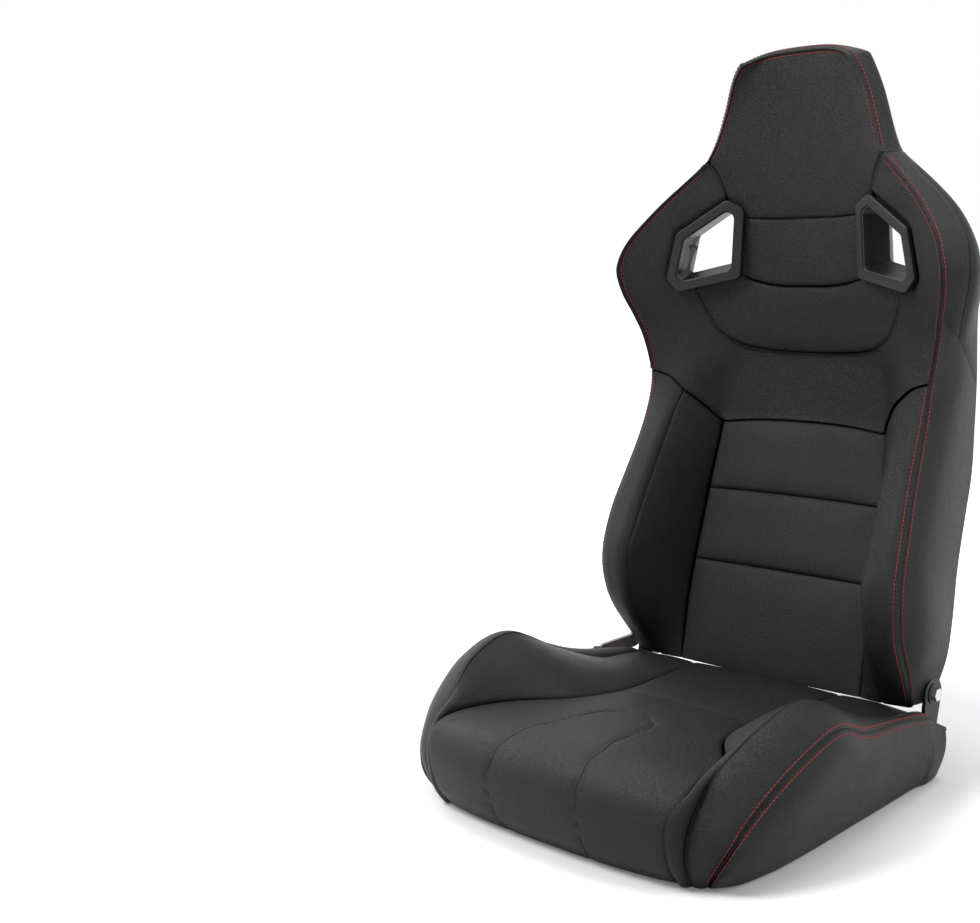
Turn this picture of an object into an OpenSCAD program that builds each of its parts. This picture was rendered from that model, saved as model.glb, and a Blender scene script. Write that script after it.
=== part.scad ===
// Reclining racing bucket seat: a steel frame, foam pads under sewn covers, a hinged backrest
// with two harness tunnels, and a recliner with its release lever.
// Millimetres, +Z up, the seat faces -Y, +X is the sitter's left.

/* [Overall] */
// Width across the cushion bolsters
seat_w = 556; // [540:2:580]
// How far each side of the backrest stands inside the cushion's widest part
back_inset = 31; // [26:1:36]
// Width across the shoulders
shoulder_w = 538; // [526:2:550]
// Width of the head panel where it meets the shoulders
head_w = 274; // [264:2:284]
// Height of the top of the head panel
back_h = 925; // [915:1:950]
// Height of the cushion at its front edge
cushion_h = 117; // [112:1:124]

/* [Panels] */
// Width of the pleated insert
insert_w = 284; // [270:2:292]
// Height of the seam along the top of the insert
insert_top = 435; // [425:1:445]
// Height of each pleat of the insert
pleat_h = 98; // [90:1:104]
// Gap left along every seam
seam_gap = 0.8; // [0.6:0.1:1.2]
// How far the middle of a panel stands proud
crown = 5; // [2:0.5:8]
// How far a panel is drawn in along its seams
seam_draw = 2.5; // [1:0.5:4]
// Thickness of the padded cover on the sides and the back
cover_t = 5; // [4:0.5:6]

/* [Harness openings] */
// Angle by which each opening faces inwards
tunnel_turn = 19; // [15:1:22]
// Width of the ring round each opening
bezel_rim = 14; // [11:1:16]
// Thickness of the ring in front of the leather
bezel_lip = 6; // [4:0.5:8]
// Wall of the tunnel
tunnel_wall = 3; // [2:0.5:4]
// Depth of the opening's throat behind the front ring
throat_depth = 34; // [30:1:38]
// How far the floor of the opening rises to the throat
throat_rise = 10; // [6:1:12]
// Width of the ring round the back of each opening
rear_rim = 8; // [6:1:10]

/* [Frame] */
// Width of the floor rails
rail_w = 30; // [26:1:34]
// Height of the floor rails
rail_h = 40; // [36:1:42]
// Wall of every tube
tube_wall = 2; // [1.5:0.5:3]
// Diameter of the backrest tube and the front tube
tube_d = 17; // [16:1:18]
// Diameter of the shoulder hoops
hoop_d = 8; // [6:1:9]
// Diameter of the spring wire
wire_d = 3.6; // [3:0.2:4.4]

/* [Mounts] */
// Spacing of the threaded holes across the seat
mount_across = 330; // [324:1:336]
// Spacing of the threaded holes along the rails
mount_along = 290; // [270:2:310]
// Tapping diameter of the M8 holes
mount_d = 6.8; // [6.6:0.1:7]
// Depth of the threaded bosses
mount_depth = 14; // [12:1:18]

/* [Hinge] */
// Height of the backrest's pivot
pivot_z = 113; // [108:1:118]
// Diameter of the pivot bolts
pivot_d = 10; // [8:1:12]
// Thickness of the hinge plates
plate_t = 5; // [4:0.5:5]
// Width of the head of the lower hinge bracket
eye_d = 40; // [36:1:42]
// Running clearance of the hinge
run_gap = 0.3; // [0.2:0.05:0.4]

/* [Recliner] */
// Diameter of the recliner housing
recliner_d = 52; // [46:1:54]
// Diameter of the cam shaft
shaft_d = 9; // [8:1:10]
// Length of the release lever
lever_len = 112; // [100:1:125]
// Turns of the lever's return spring
spring_turns = 4; // [3:1:5]

/* [Hidden] */

leather = "#2b2c2e";
leather_inner = "#3a3b3d";
plastic = "#1b1c1d";
steel_black = "#26272a";
steel_bright = "#b9bcc0";

seat_hw = seat_w / 2;
back_hw = seat_hw - back_inset;
shoulder_hw = shoulder_w / 2;
head_hw = head_w / 2;
insert_hw = insert_w / 2;
depth_centre = 48;          // the middle of the whole seat along Y, in the lists below
pivot_y = 230;
seam = seam_gap / 2;
hollow = 22;                // space for the backrest frame between the pads and the back cover
pan_z = rail_h + wire_d + 2 * run_gap;  // underside of the foam in the seat
plate_x = back_hw - 24;     // inner face of the lower hinge brackets
arm_x = plate_x - 19;       // inner face of the hinge arms
window = [140, 259, 672];   // middle of the harness opening on the +X side
tube_r = tube_d / 2;

// ---------- curves ----------

function last(v) = v[len(v) - 1];
function span(v, s, i = 0) = i >= len(v) - 2 || s < v[i + 1][0] ? i : span(v, s, i + 1);
function slope(v, i) =
    i == 0 ? (v[1] - v[0]) / (v[1][0] - v[0][0])
    : i == len(v) - 1 ? (v[i] - v[i - 1]) / (v[i][0] - v[i - 1][0])
    : (v[i + 1] - v[i - 1]) / (v[i + 1][0] - v[i - 1][0]);
// Smooth curve through a list of [station, values...]
function curve(v, s) =
    let (i = span(v, s), h = v[i + 1][0] - v[i][0], t = min(1, max(0, (s - v[i][0]) / h)))
    v[i] * (1 + 2 * t) * (1 - t) * (1 - t) + v[i + 1] * t * t * (3 - 2 * t)
    + slope(v, i) * h * t * (1 - t) * (1 - t) - slope(v, i + 1) * h * t * t * (1 - t);
function mix(a, b, t) = a + (b - a) * t;
function ramp(a, b, s) = let (t = min(1, max(0, (s - a) / (b - a)))) t * t * (3 - 2 * t);

// The same points with the length along them in front of each
function lengths(p) = [for (i = 0, s = 0; i < len(p);
    s = s + (i < len(p) - 1 ? norm(p[i + 1] - p[i]) : 0), i = i + 1) s];
function path(p, n) =
    let (s = lengths(p), v = [for (i = [0 : len(p) - 1]) concat([s[i]], p[i])])
    [for (i = [0 : n]) let (q = curve(v, last(s) * i / n)) [for (k = [1 : len(q) - 1]) q[k]]];

// ---------- solids between two grids of points ----------

// A closed solid between an outer and an inner grid of the same size
module slab(outer, inner) {
    rows = len(outer);
    cols = len(outer[0]);
    function at(side, i, j) = side * rows * cols + i * cols + j;
    points = concat([for (r = outer) each r], [for (r = inner) each r]);
    sheet = [for (i = [0 : rows - 2], j = [0 : cols - 2]) each [
        [at(0, i, j), at(0, i, j + 1), at(0, i + 1, j + 1)],
        [at(0, i, j), at(0, i + 1, j + 1), at(0, i + 1, j)],
        [at(1, i, j), at(1, i + 1, j + 1), at(1, i, j + 1)],
        [at(1, i, j), at(1, i + 1, j), at(1, i + 1, j + 1)]]];
    ends = [for (j = [0 : cols - 2]) each [
        [at(0, 0, j), at(1, 0, j + 1), at(0, 0, j + 1)],
        [at(0, 0, j), at(1, 0, j), at(1, 0, j + 1)],
        [at(0, rows - 1, j), at(0, rows - 1, j + 1), at(1, rows - 1, j + 1)],
        [at(0, rows - 1, j), at(1, rows - 1, j + 1), at(1, rows - 1, j)]]];
    edges = [for (i = [0 : rows - 2]) each [
        [at(0, i, 0), at(0, i + 1, 0), at(1, i + 1, 0)],
        [at(0, i, 0), at(1, i + 1, 0), at(1, i, 0)],
        [at(0, i, cols - 1), at(1, i + 1, cols - 1), at(0, i + 1, cols - 1)],
        [at(0, i, cols - 1), at(1, i, cols - 1), at(1, i + 1, cols - 1)]]];
    polyhedron(points, concat(sheet, ends, edges));
}

// ---------- the backrest's lines: [height, half width, depth] ----------

head_from = 786;            // the head panel rises from here, and stretches with back_h
head_rise = 139;            // its height as drawn
function up(z) = head_from + (z - head_from) * (back_h - head_from) / head_rise;

centre_line = [[98, 0, 192], [125, 0, 200], [196, 0, 217], [240, 0, 230], [300, 0, 249], [352, 0, 265],
    [408, 0, 279], [440, 0, 287], [500, 0, 295], [527, 0, 298], [616, 0, 287], [706, 0, 285],
    [head_from, 0, 284], [up(860), 0, 282], [back_h, 0, 276]];
insert_line = [[98, insert_hw + 1, 195], [125, insert_hw + 1, 201], [195, insert_hw + 1, 217],
    [252, insert_hw, 234], [301, insert_hw - 2, 249], [352, insert_hw - 5, 263],
    [430, insert_hw - 14, 280], [478, insert_hw - 20, 286], [530, insert_hw - 46, 294],
    [616, 92, 286], [706, 86, 280], [head_from, 80, 278], [up(860), 68, 279], [back_h, 50, 275]];
crease_line = [[98, back_hw - 69, 193], [125, back_hw - 67, 178], [160, back_hw - 65, 153],
    [200, back_hw - 64, 138], [261, back_hw - 64, 132], [290, back_hw - 66, 144],
    [332, back_hw - 68, 165], [381, back_hw - 70, 192], [429, back_hw - 74, 216],
    [475, back_hw - 79, 240], [505, back_hw - 81, 251], [557, 165, 261], [611, 160, 260],
    [690, 150, 257], [733, 140, 254], [head_from, 108, 268], [up(860), 92, 274], [back_h, 70, 272]];
crest_line = [[98, back_hw - 31, 200], [125, back_hw - 25, 184], [152, back_hw - 20, 169],
    [175, back_hw - 17, 154], [200, back_hw - 15, 142], [237, back_hw - 13, 136],
    [274, back_hw - 14, 141], [314, back_hw - 16, 155], [361, back_hw - 22, 178],
    [408, back_hw - 27, 202], [463, back_hw - 30, 224], [502, back_hw - 29, 231],
    [549, shoulder_hw - 41, 227], [581, shoulder_hw - 32, 216], [610, shoulder_hw - 23, 204],
    [640, shoulder_hw - 19, 197], [662, shoulder_hw - 24, 200], [683, shoulder_hw - 34, 208],
    [705, shoulder_hw - 51, 219], [733, shoulder_hw - 77, 233], [760, head_hw + 25, 246],
    [783, head_hw, 254], [up(800), head_hw - 9, 259], [up(819), head_hw - 16, 263],
    [up(858), head_hw - 28, 266], [up(892), head_hw - 40, 263], [up(913), head_hw - 55, 262],
    [back_h, head_hw - 65, 262]];
side_line = [[98, back_hw - 28, 225], [125, back_hw - 24, 216], [142, back_hw - 19, 206],
    [163, back_hw - 11, 192], [196, back_hw - 3, 184], [238, back_hw - 2, 180], [280, back_hw - 6, 186],
    [351, back_hw - 14, 222], [426, back_hw - 20, 258], [462, back_hw - 20, 270],
    [513, back_hw - 16, 278], [544, shoulder_hw - 31, 268], [567, shoulder_hw - 21, 256],
    [602, shoulder_hw - 6, 244], [629, shoulder_hw, 240], [648, shoulder_hw - 1, 241],
    [674, shoulder_hw - 11, 250], [709, shoulder_hw - 36, 263], [740, shoulder_hw - 69, 272],
    [766, head_hw + 29, 279], [head_from, head_hw + 5, 283], [up(820), head_hw - 8, 285],
    [up(860), head_hw - 20, 286], [up(892), head_hw - 32, 284], [up(913), head_hw - 42, 281],
    [back_h, head_hw - 55, 278]];
rear_line = [[98, back_hw - 28, 246], [151, back_hw - 15, 258], [200, back_hw - 11, 264],
    [268, back_hw - 13, 280], [327, back_hw - 20, 311], [379, back_hw - 26, 337],
    [442, back_hw - 27, 345], [500, back_hw - 21, 337], [540, shoulder_hw - 33, 317],
    [584, shoulder_hw - 21, 293], [613, shoulder_hw - 15, 286], [650, shoulder_hw - 21, 291],
    [689, shoulder_hw - 47, 303], [717, shoulder_hw - 75, 308], [751, head_hw + 25, 307],
    [781, head_hw + 1, 303], [up(816), head_hw - 15, 303], [up(863), head_hw - 28, 300],
    [up(895), head_hw - 40, 296], [up(913), head_hw - 50, 291], [back_h, head_hw - 60, 286]];
spine_line = [[98, 0, 246], [151, 0, 263], [200, 0, 280], [268, 0, 303], [327, 0, 329], [379, 0, 350],
    [442, 0, 361], [500, 0, 357], [540, 0, 345], [584, 0, 330], [613, 0, 324], [650, 0, 322], [689, 0, 323],
    [717, 0, 326], [751, 0, 328], [781, 0, 328], [up(816), 0, 327], [up(863), 0, 322], [up(895), 0, 314],
    [up(913), 0, 307], [back_h, 0, 298]];

function xy(line, z) = let (p = curve(line, z)) [p[1], p[2]];
// Depth of the front surface: flat insert, steep inner wall and flat bolster face low down,
// and one smooth hollow across the shoulders
function front_y(x, z) =
    let (a = abs(x), c = xy(centre_line, z), i = xy(insert_line, z), k = xy(crease_line, z), s = xy(crest_line, z),
        low = a < i.x ? mix(c.y, i.y, pow(a / i.x, 2))
            : a < k.x ? mix(i.y, k.y, (a - i.x) / (k.x - i.x))
            : mix(k.y, s.y, (a - k.x) / (s.x - k.x)),
        high = curve([[-i.x, i.y], [0, c.y], i, k, s, [s.x + 12, s.y - 1]], a)[1])
    mix(low, high, ramp(440, 500, z));
// Depth of the outside of the back cover, and of the back of the pads
function back_y(x, z) =
    let (b = xy(spine_line, z), r = xy(rear_line, z)) b.y - (b.y - r.y) * pow(min(1, abs(x) / r.x), 3);
function hollow_at(z) = mix(hollow, 8, ramp(up(850), up(905), z));
function mid_y(x, z) = back_y(x, z) - cover_t - hollow_at(z);
// The depth at which a frame tube lies in the hollow
function tube_y(x, z) = back_y(x, z) - cover_t - hollow / 2;
// The outside of the side cover, from the crest seam at 0 to the rear edge at 1
function side_at(t, z) =
    let (s = xy(crest_line, z), m = xy(side_line, z), r = xy(rear_line, z),
        p = curve([[0, s.x, s.y], [0.45, m.x, m.y], [1, r.x, r.y]], t))
    [p[1], p[2], z];

module in_seat() { translate([0, -depth_centre, 0]) children(); }
module both_sides() { children(); mirror([1, 0, 0]) children(); }

// A pad over the front surface. Its four edges are lists of [x, z]: the bottom and top run
// from -X to +X, and the left and right run upwards.
module pad(bottom, top, left, right, cols, rows, rise = crown, tuck_left = 0, tuck_right = 0, tuck_top = 0) {
    b = path(bottom, cols);
    t = path(top, cols);
    l = path(left, rows);
    r = path(right, rows);
    function spot(i, j) =
        let (u = j / cols, v = i / rows)
        mix(b[j], t[j], v) + mix(l[i], r[i], u)
        - mix(mix(b[0], b[cols], u), mix(t[0], t[cols], u), v);
    // Every edge steps inwards by half the seam gap
    function inset(i, j) =
        let (p = spot(i, j), side = spot(i, cols / 2) - p, end = spot(rows / 2, j) - p)
        p + (j == 0 || j == cols ? seam * side / norm(side) : [0, 0])
        + (i == 0 || i == rows ? seam * end / norm(end) : [0, 0]);
    function swell(i, j) =
        let (u = 2 * j / cols - 1, v = 2 * i / rows - 1)
        (1 - pow(u, 4)) * (1 - pow(v, 4));
    front = [for (i = [0 : rows]) [for (j = [0 : cols])
        let (p = inset(i, j)) [p.x, front_y(p.x, p.y) + seam_draw - (rise + seam_draw) * swell(i, j), p.y]]];
    // At the back the pad is tucked in, to leave room for the side covers
    rear = [for (i = [0 : rows]) [for (j = [0 : cols])
        let (p = inset(i, j), u = 2 * j / cols - 1, v = max(0, 2 * i / rows - 1),
            q = p + [(u > 0 ? -tuck_right : tuck_left) * abs(pow(u, 3)), -tuck_top * pow(v, 3)])
        [q.x, mid_y(q.x, q.y), q.y]]];
    in_seat() slab(rear, front);
}
function flip_x(p) = [for (q = p) [-q.x, q.y]];
function reversed(p) = [for (i = [len(p) - 1 : -1 : 0]) p[i]];

// ---------- harness openings ----------

// Corners of the front ring in its own plane, from the top round the inner side
window_corners = [[-31, 62], [-56, 48], [-50, -45], [40, -63], [57, -44], [42, 18]];
corner_r = 9;
corner_steps = 3;
function unit(v) = v / norm(v);
function facing_out(u) = [u.y, -u.x];
// The outline of the opening, grown outwards, with an arc at each corner
function outline(grow) = let (c = window_corners, n = len(c)) [for (i = [0 : n - 1])
    let (u = facing_out(unit(c[i] - c[(i + n - 1) % n])), v = facing_out(unit(c[(i + 1) % n] - c[i])),
        q = c[i] + (grow - corner_r) * (u + v) / (1 + u * v))
    for (k = [0 : corner_steps]) q + corner_r * unit(mix(u, v, k / corner_steps))];
// The same at the throat: the floor has risen and the walls have closed in a little
function throat(grow) = [for (p = outline(grow)) [0.9 * p.x, p.y + throat_rise * ramp(0, -40, p.y)]];
// Places a flat outline in a plane turned about Z through a centre, at a depth behind it
function set_at(points, centre, turn, depth) = [for (p = points)
    centre + p.x * [cos(turn), -sin(turn), 0] + depth * [sin(turn), cos(turn), 0] + [0, 0, p.y]];
function in_front(points, depth) = set_at(points, window, tunnel_turn, depth);
rear_turn = 10;
rear_centre = [window.x + 14, back_y(window.x + 14, window.z), window.z];
tuck = cover_t + 2;         // how far the pads are tucked in behind the side covers
collar = [-8, 3];           // the rear ring's collar fills a hole in the back cover
edge = 1.5;                 // the rings' rounded edges
function behind(points, depth) = set_at(points, rear_centre, rear_turn, depth);
// A closed sleeve through rings of points, the last joined to the first
module sleeve(rings) {
    n = len(rings);
    m = len(rings[0]);
    faces = [for (i = [0 : n - 1], k = [0 : m - 1])
        let (a = i * m + k, b = i * m + (k + 1) % m, c = (i + 1) % n * m + (k + 1) % m, d = (i + 1) % n * m + k)
        each [[a, c, b], [a, d, c]]];
    in_seat() polyhedron([for (r = rings) each r], faces);
}
// A prism through the opening, square to the plane at a centre
module window_prism(grow, centre, turn, from, to) {
    in_seat() translate(centre) rotate([0, 0, -turn]) rotate([90, 0, 0])
        translate([0, 0, -to]) linear_extrude(to - from) polygon(outline(grow));
}
module window_cut() {
    both_sides() {
        window_prism(seam_gap - bezel_rim + tunnel_wall, window, tunnel_turn, -60, 60);
        window_prism(seam_gap, window, tunnel_turn, -60, seam_gap / 2);
    }
}
inner_wall = -bezel_rim;
outer_wall = tunnel_wall - bezel_rim;
module bezel() {
    color(plastic) sleeve([in_front(outline(0), 0), in_front(outline(0), edge - bezel_lip),
        in_front(outline(-edge), -bezel_lip), in_front(outline(inner_wall + edge), -bezel_lip),
        in_front(outline(inner_wall), edge - bezel_lip), in_front(throat(inner_wall), throat_depth),
        in_front(throat(outer_wall), throat_depth), in_front(outline(outer_wall), 0)]);
}
module rear_ring() {
    start = throat_depth + run_gap;
    color(plastic) sleeve([in_front(throat(outer_wall), start), in_front(throat(inner_wall), start),
        behind(outline(-rear_rim), collar[1] - edge), behind(outline(edge - rear_rim), collar[1]),
        behind(outline(-edge), collar[1]), behind(outline(0), collar[1] - edge), behind(outline(0), collar[0]),
        behind(outline(tunnel_wall - rear_rim), collar[0])]);
}
module harness_bezel_left() { bezel(); }
module harness_bezel_right() { mirror([1, 0, 0]) bezel(); }
module rear_bezel_left() { rear_ring(); }
module rear_bezel_right() { mirror([1, 0, 0]) rear_ring(); }

// ---------- seams of the backrest, as [x, z] ----------

pleat_1 = insert_top - pleat_h;
pleat_2 = pleat_1 - pleat_h;
insert_foot = 101;
function edge_x(z) = xy(insert_line, z).x;
insert_corner = [edge_x(insert_top - 7), insert_top - 7];
waist_end = [xy(crest_line, 502).x, 502];
waist_bends = [[0.24, 0.39], [0.44, 0.635], [0.69, 0.88]];   // shares of the way across and up
waist_seam = path(concat([insert_corner], [for (t = waist_bends)
    [mix(insert_corner.x, waist_end.x, t.x), mix(insert_corner.y, waist_end.y, t.y)]], [waist_end]), 8);
waist_inner = [for (i = [0 : 4]) waist_seam[i]];
waist_outer = [for (i = [4 : 8]) waist_seam[i]];
insert_seam = [insert_corner, [64, insert_top - 1], [0, insert_top]];
yoke_seam = [[-136, 557], [-116, 541], [-94, 532], [-50, 527], [0, 526], [50, 527], [94, 532], [116, 541], [136, 557]];
neck_low = [[-100, 635], [-84, 626], [-45, 618], [0, 617], [45, 618], [84, 626], [100, 635]];
neck_high = [[-100, 709], [-45, 706], [0, 706], [45, 706], [100, 709]];
head_crest = [for (h = [795, 806, 819, 840, 858, 876, 892, 902, 910]) let (z = up(h)) [xy(crest_line, z).x - 1, z]];
head_foot = [[105, 709], [110, 735], [117.5, 758], [125.5, 774], [133, 784]];
head_top = [[-last(head_crest).x, last(head_crest).y], [-66, back_h - 9], [-40, back_h - 5], [0, back_h - 4],
    [40, back_h - 5], [66, back_h - 9], last(head_crest)];

module headrest_pad() {
    right = concat(head_foot, head_crest);
    color(leather) difference() {
        pad(neck_high, head_top, flip_x(right), right, 10, 14,
            rise = 3, tuck_left = tuck, tuck_right = tuck, tuck_top = tuck + 2);
        window_cut();
    }
}
module neck_pad() {
    right = [[100, 634], [101, 670], [100, 709]];
    color(leather) difference() {
        pad(neck_low, neck_high, flip_x(right), right, 10, 6);
        window_cut();
    }
}
module yoke_pad() {
    right = [[136, 557], [150, 590], [150, 612]];
    upper = [[-150, 612], [-126, 624], [-100, 634], [-84, 624], [-45, 616], [0, 615], [45, 616], [84, 624],
        [100, 634], [126, 624], [150, 612]];
    color(leather) difference() {
        pad(yoke_seam, upper, flip_x(right), right, 16, 6);
        window_cut();
    }
}
// The horseshoe from one shoulder round below the yoke to the other
module upper_back_pad() {
    shoulder = [for (z = [783, 760, 733, 705, 683, 662, 640, 610, 581, 549, 502]) [xy(crest_line, z).x, z]];
    beside = [[134, 783], [127, 774], [119, 758], [114, 735], [128, 705], [146, 675], [160, 645], [160, 615],
        [151, 590], [136, 557]];
    below = [[136, 557], [116, 541], [94, 532], [50, 527], [0, 526]];
    inner_half = concat(path(beside, 11), [for (p = path(below, 12)) if (p.x < 136) p]);
    outer_half = concat(path(shoulder, 11), [for (i = [7 : -1 : 0]) waist_seam[i]],
        [for (p = path(insert_seam, 4)) if (p.x < insert_corner.x) p]);
    mirrored = function(p) [for (i = [len(p) - 2 : -1 : 0]) [-p[i].x, p[i].y]];
    a = concat(inner_half, mirrored(inner_half));
    b = concat(outer_half, mirrored(outer_half));
    steps = len(a) - 1;
    across = 6;
    function spot(i, j) =
        let (w = norm(b[i] - a[i]), t = mix(seam / w, 1 - seam / w, j / across), end = (i == 0 || i == steps) ? -seam : 0)
        mix(a[i], b[i], t) + [0, end];
    front = [for (i = [0 : steps]) [for (j = [0 : across])
        let (p = spot(i, j), u = 2 * j / across - 1, e = min(1, min(i, steps - i) / 3))
        [p.x, front_y(p.x, p.y) + seam_draw - seam_draw * (1 - pow(u, 4)) * e, p.y]]];
    rear = [for (i = [0 : steps]) [for (j = [0 : across])
        let (o = spot(i, j), p = o + tuck * pow(j / across, 3) * unit([0, 640] - o)) [p.x, mid_y(p.x, p.y), p.y]]];
    color(leather) difference() {
        in_seat() slab(front, rear);
        window_cut();
    }
}
function across_at(edge_z, mid_z) = [[-edge_x(edge_z), edge_z], [-64, mid_z - (mid_z - edge_z) / 6],
    [0, mid_z], [64, mid_z - (mid_z - edge_z) / 6], [edge_x(edge_z), edge_z]];
module insert_pad(low, high, low_edge, high_edge) {
    right = [for (i = [0 : 3]) let (z = mix(low_edge, high_edge, i / 3)) [edge_x(z), z]];
    bottom = across_at(low_edge, low);
    top = across_at(high_edge, high);
    color(leather_inner) pad(bottom, top, flip_x(right), right, 10, 6);
}
module insert_pad_upper() { insert_pad(pleat_1, insert_top, pleat_1 - 2, insert_top - 7); }
module insert_pad_middle() { insert_pad(pleat_2, pleat_1, pleat_2 - 1, pleat_1 - 2); }
module insert_pad_lower() { insert_pad(insert_foot, pleat_2, insert_foot, pleat_2 - 1); }

crease_seam = [for (z = [insert_foot, 160, 200, 261, 290, 332, 381, 429, 455]) [xy(crease_line, z).x, z]];
// The steep wall between the insert and the bolster's face
module inner_bolster() {
    left = [for (z = [insert_foot, 160, 200, 252, 301, 352, 395, insert_corner.y]) [edge_x(z), z]];
    right = concat(crease_seam, [last(waist_inner)]);
    color(leather) pad([left[0], right[0]], waist_inner, left, right, 4, 14, rise = 1);
}
module inner_bolster_left() { inner_bolster(); }
module inner_bolster_right() { mirror([1, 0, 0]) inner_bolster(); }

module pivot_clear(r, from, to) {
    in_seat() translate([from, pivot_y, pivot_z]) rotate([0, 90, 0]) cylinder(h = to - from, r = r);
}
// Room for the arm and its nut, for what lies round the pivot, and for the bracket's head
module hinge_clear(r) {
    pivot_clear(arm_r + 3, arm_x - 11, arm_x + plate_t + run_gap);
    pivot_clear(r, arm_x, plate_x + 40);
    pivot_clear(max(r, eye_d / 2 + 3), plate_x - 0.8, plate_x + 40);
}
arm_r = 12;
module back_bolster(clear_r) {
    foot = insert_foot + 0.8;
    left = concat([[crease_seam[0].x, foot]], [for (i = [1 : len(crease_seam) - 1]) crease_seam[i]], [last(waist_inner)]);
    right = [for (z = [foot, 125, 152, 200, 237, 274, 314, 361, 408, 463, 502]) [xy(crest_line, z).x, z]];
    color(leather) difference() {
        pad([left[0], right[0]], waist_outer, left, right, 8, 16, rise = 7, tuck_right = tuck);
        hinge_clear(clear_r);
    }
}
bush_clear_r = pivot_d / 2 + 6;
housing_clear_r = recliner_d / 2 + 3;
module back_bolster_left() { back_bolster(bush_clear_r); }
module back_bolster_right() { mirror([1, 0, 0]) back_bolster(housing_clear_r); }

// ---------- side covers, head band and back cover ----------

function towards(p, q, d) = p + d * (q - p) / norm(q - p);
module side_sheet(z_list, rows, cols, z_rear) {
    zs = path(z_list, rows);
    function thick(t) = cover_t * (0.1 + 0.9 * ramp(0.05, 0.6, t));
    function deep(p, z, t) = towards([p.x, p.y], [0.55 * xy(rear_line, z).x, back_y(0, z) - 70], thick(t));
    outer = [for (i = [0 : rows]) [for (j = [0 : cols])
        let (t = mix(0.02, 0.97, j / cols), z = mix(zs[i][0], z_rear(zs[i][0]), t)) side_at(t, z)]];
    inner = [for (i = [0 : rows]) [for (j = [0 : cols])
        let (p = outer[i][j], q = deep(p, p.z, j / cols)) [q.x, q.y, p.z]]];
    slab(inner, outer);
}
module back_side(clear_r) {
    color(leather) difference() {
        in_seat() side_sheet([[insert_foot], [783]], 28, 6, function(z) z);
        hinge_clear(clear_r);
    }
}
module back_side_left() { back_side(bush_clear_r); }
module back_side_right() { mirror([1, 0, 0]) back_side(housing_clear_r); }

head_stations = [for (z = [head_from, 800, 819, 840, 860, 880, 897, 913]) up(z)];
module head_band() {
    tops = [[66, back_h - 5], [36, back_h - 1], [0, back_h]];
    function over(p, t) =
        let (f = [p.x, front_y(p.x, p.y) - 1, p.y], r = [p.x * 1.04, 296, p.y - 4])
        mix(f, r, t) + [0, 0, 3 * (1 - pow(2 * t - 1, 2)) - 1.4];
    function inward(p, t) = let (c = [0, p.y, 850]) p + cover_t * (0.15 + 0.85 * ramp(0, 0.5, t)) * unit(c - p);
    cols = 6;
    half = concat(
        [for (z = head_stations) [for (j = [0 : cols]) side_at(mix(0.03, 0.78, j / cols), z)]],
        [for (p = tops) [for (j = [0 : cols]) over(p, mix(0.03, 0.78, j / cols))]]);
    rest = [for (i = [len(half) - 2 : -1 : 0]) [for (p = half[i]) [-p.x, p.y, p.z]]];
    outer = concat(half, rest);
    color(leather) in_seat() slab([for (r = outer) [for (j = [0 : cols]) inward(r[j], j / cols)]], outer);
}
module back_cover() {
    rows = 22;
    cols = 12;
    zs = [for (i = [0 : rows]) mix(98, back_h - 13, i / rows)];
    function spot(i, j) =
        let (u = 2 * j / cols - 1, z = zs[i], x = u * (xy(rear_line, z).x - 1.5))
        [x, back_y(x, z), z + 5 * (1 - u * u) * ramp(up(850), back_h - 13, z)];
    outer = [for (i = [0 : rows]) [for (j = [0 : cols]) spot(i, j)]];
    inner = [for (r = outer) [for (p = r) [p.x * 0.985, p.y - cover_t, p.z]]];
    color(leather) difference() {
        in_seat() slab(outer, inner);
        both_sides() window_prism(seam, rear_centre, rear_turn, -30, 30);
        hinge_clear(bush_clear_r);
        mirror([1, 0, 0]) hinge_clear(housing_clear_r);
    }
}

// ---------- the seat's lines: [place along the cushion, x, y, z] ----------

mid_row = [[0, 0, 236, 62], [0.5, 0, 214, 72], [1, 0, 201, 84], [1.5, 0, 188, 101], [2, 0, 110, 102],
    [3, 0, 20, 105], [4, 0, -65, cushion_h - 7], [5, 0, -135, cushion_h - 3], [6, 0, -200, cushion_h],
    [7, 0, -243, cushion_h - 11], [8, 0, -262, 76], [9, 0, -252, 30], [10, 0, -228, 0]];
seam_row = [[0, seat_hw - 158, 236, 62], [0.5, seat_hw - 159, 214, 72], [1, seat_hw - 160, 201, 84],
    [1.5, seat_hw - 162, 188, 100], [2, seat_hw - 169, 110, 101], [3, seat_hw - 176, 18, 104],
    [4, seat_hw - 156, -62, cushion_h - 8], [5, seat_hw - 108, -132, cushion_h - 5],
    [6, seat_hw - 88, -203, cushion_h - 5], [7, seat_hw - 86, -238, cushion_h - 17],
    [8, seat_hw - 94, -252, 73], [9, seat_hw - 98, -244, 30], [10, seat_hw - 101, -222, 0]];
crest_row = [[0, seat_hw - 62, 236, 63], [0.5, seat_hw - 62, 215, 72], [1, seat_hw - 61, 202, 84],
    [1.5, seat_hw - 61, 188, 97], [2, seat_hw - 60, 110, 106],
    [3, seat_hw - 55, 20, 142], [4, seat_hw - 51, -60, 178], [5, seat_hw - 56, -135, 163],
    [6, seat_hw - 71, -186, 128], [7, seat_hw - 77, -212, 98], [8, seat_hw - 80, -230, 66],
    [9, seat_hw - 82, -231, 30], [10, seat_hw - 84, -216, 0]];
stitch_row = [[0, seat_hw - 38, 242, 68], [0.5, seat_hw - 38, 222, 78], [1, seat_hw - 37, 204, 88],
    [1.5, seat_hw - 35, 186, 96], [2, seat_hw - 28, 110, 111],
    [3, seat_hw - 16, 20, 126], [4, seat_hw - 7, -50, 150], [5, seat_hw - 9, -115, 135],
    [6, seat_hw - 16, -165, 108], [7, seat_hw - 27, -196, 78], [8, seat_hw - 36, -208, 56],
    [9, seat_hw - 54, -211, 27], [10, seat_hw - 72, -204, 0]];
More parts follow.
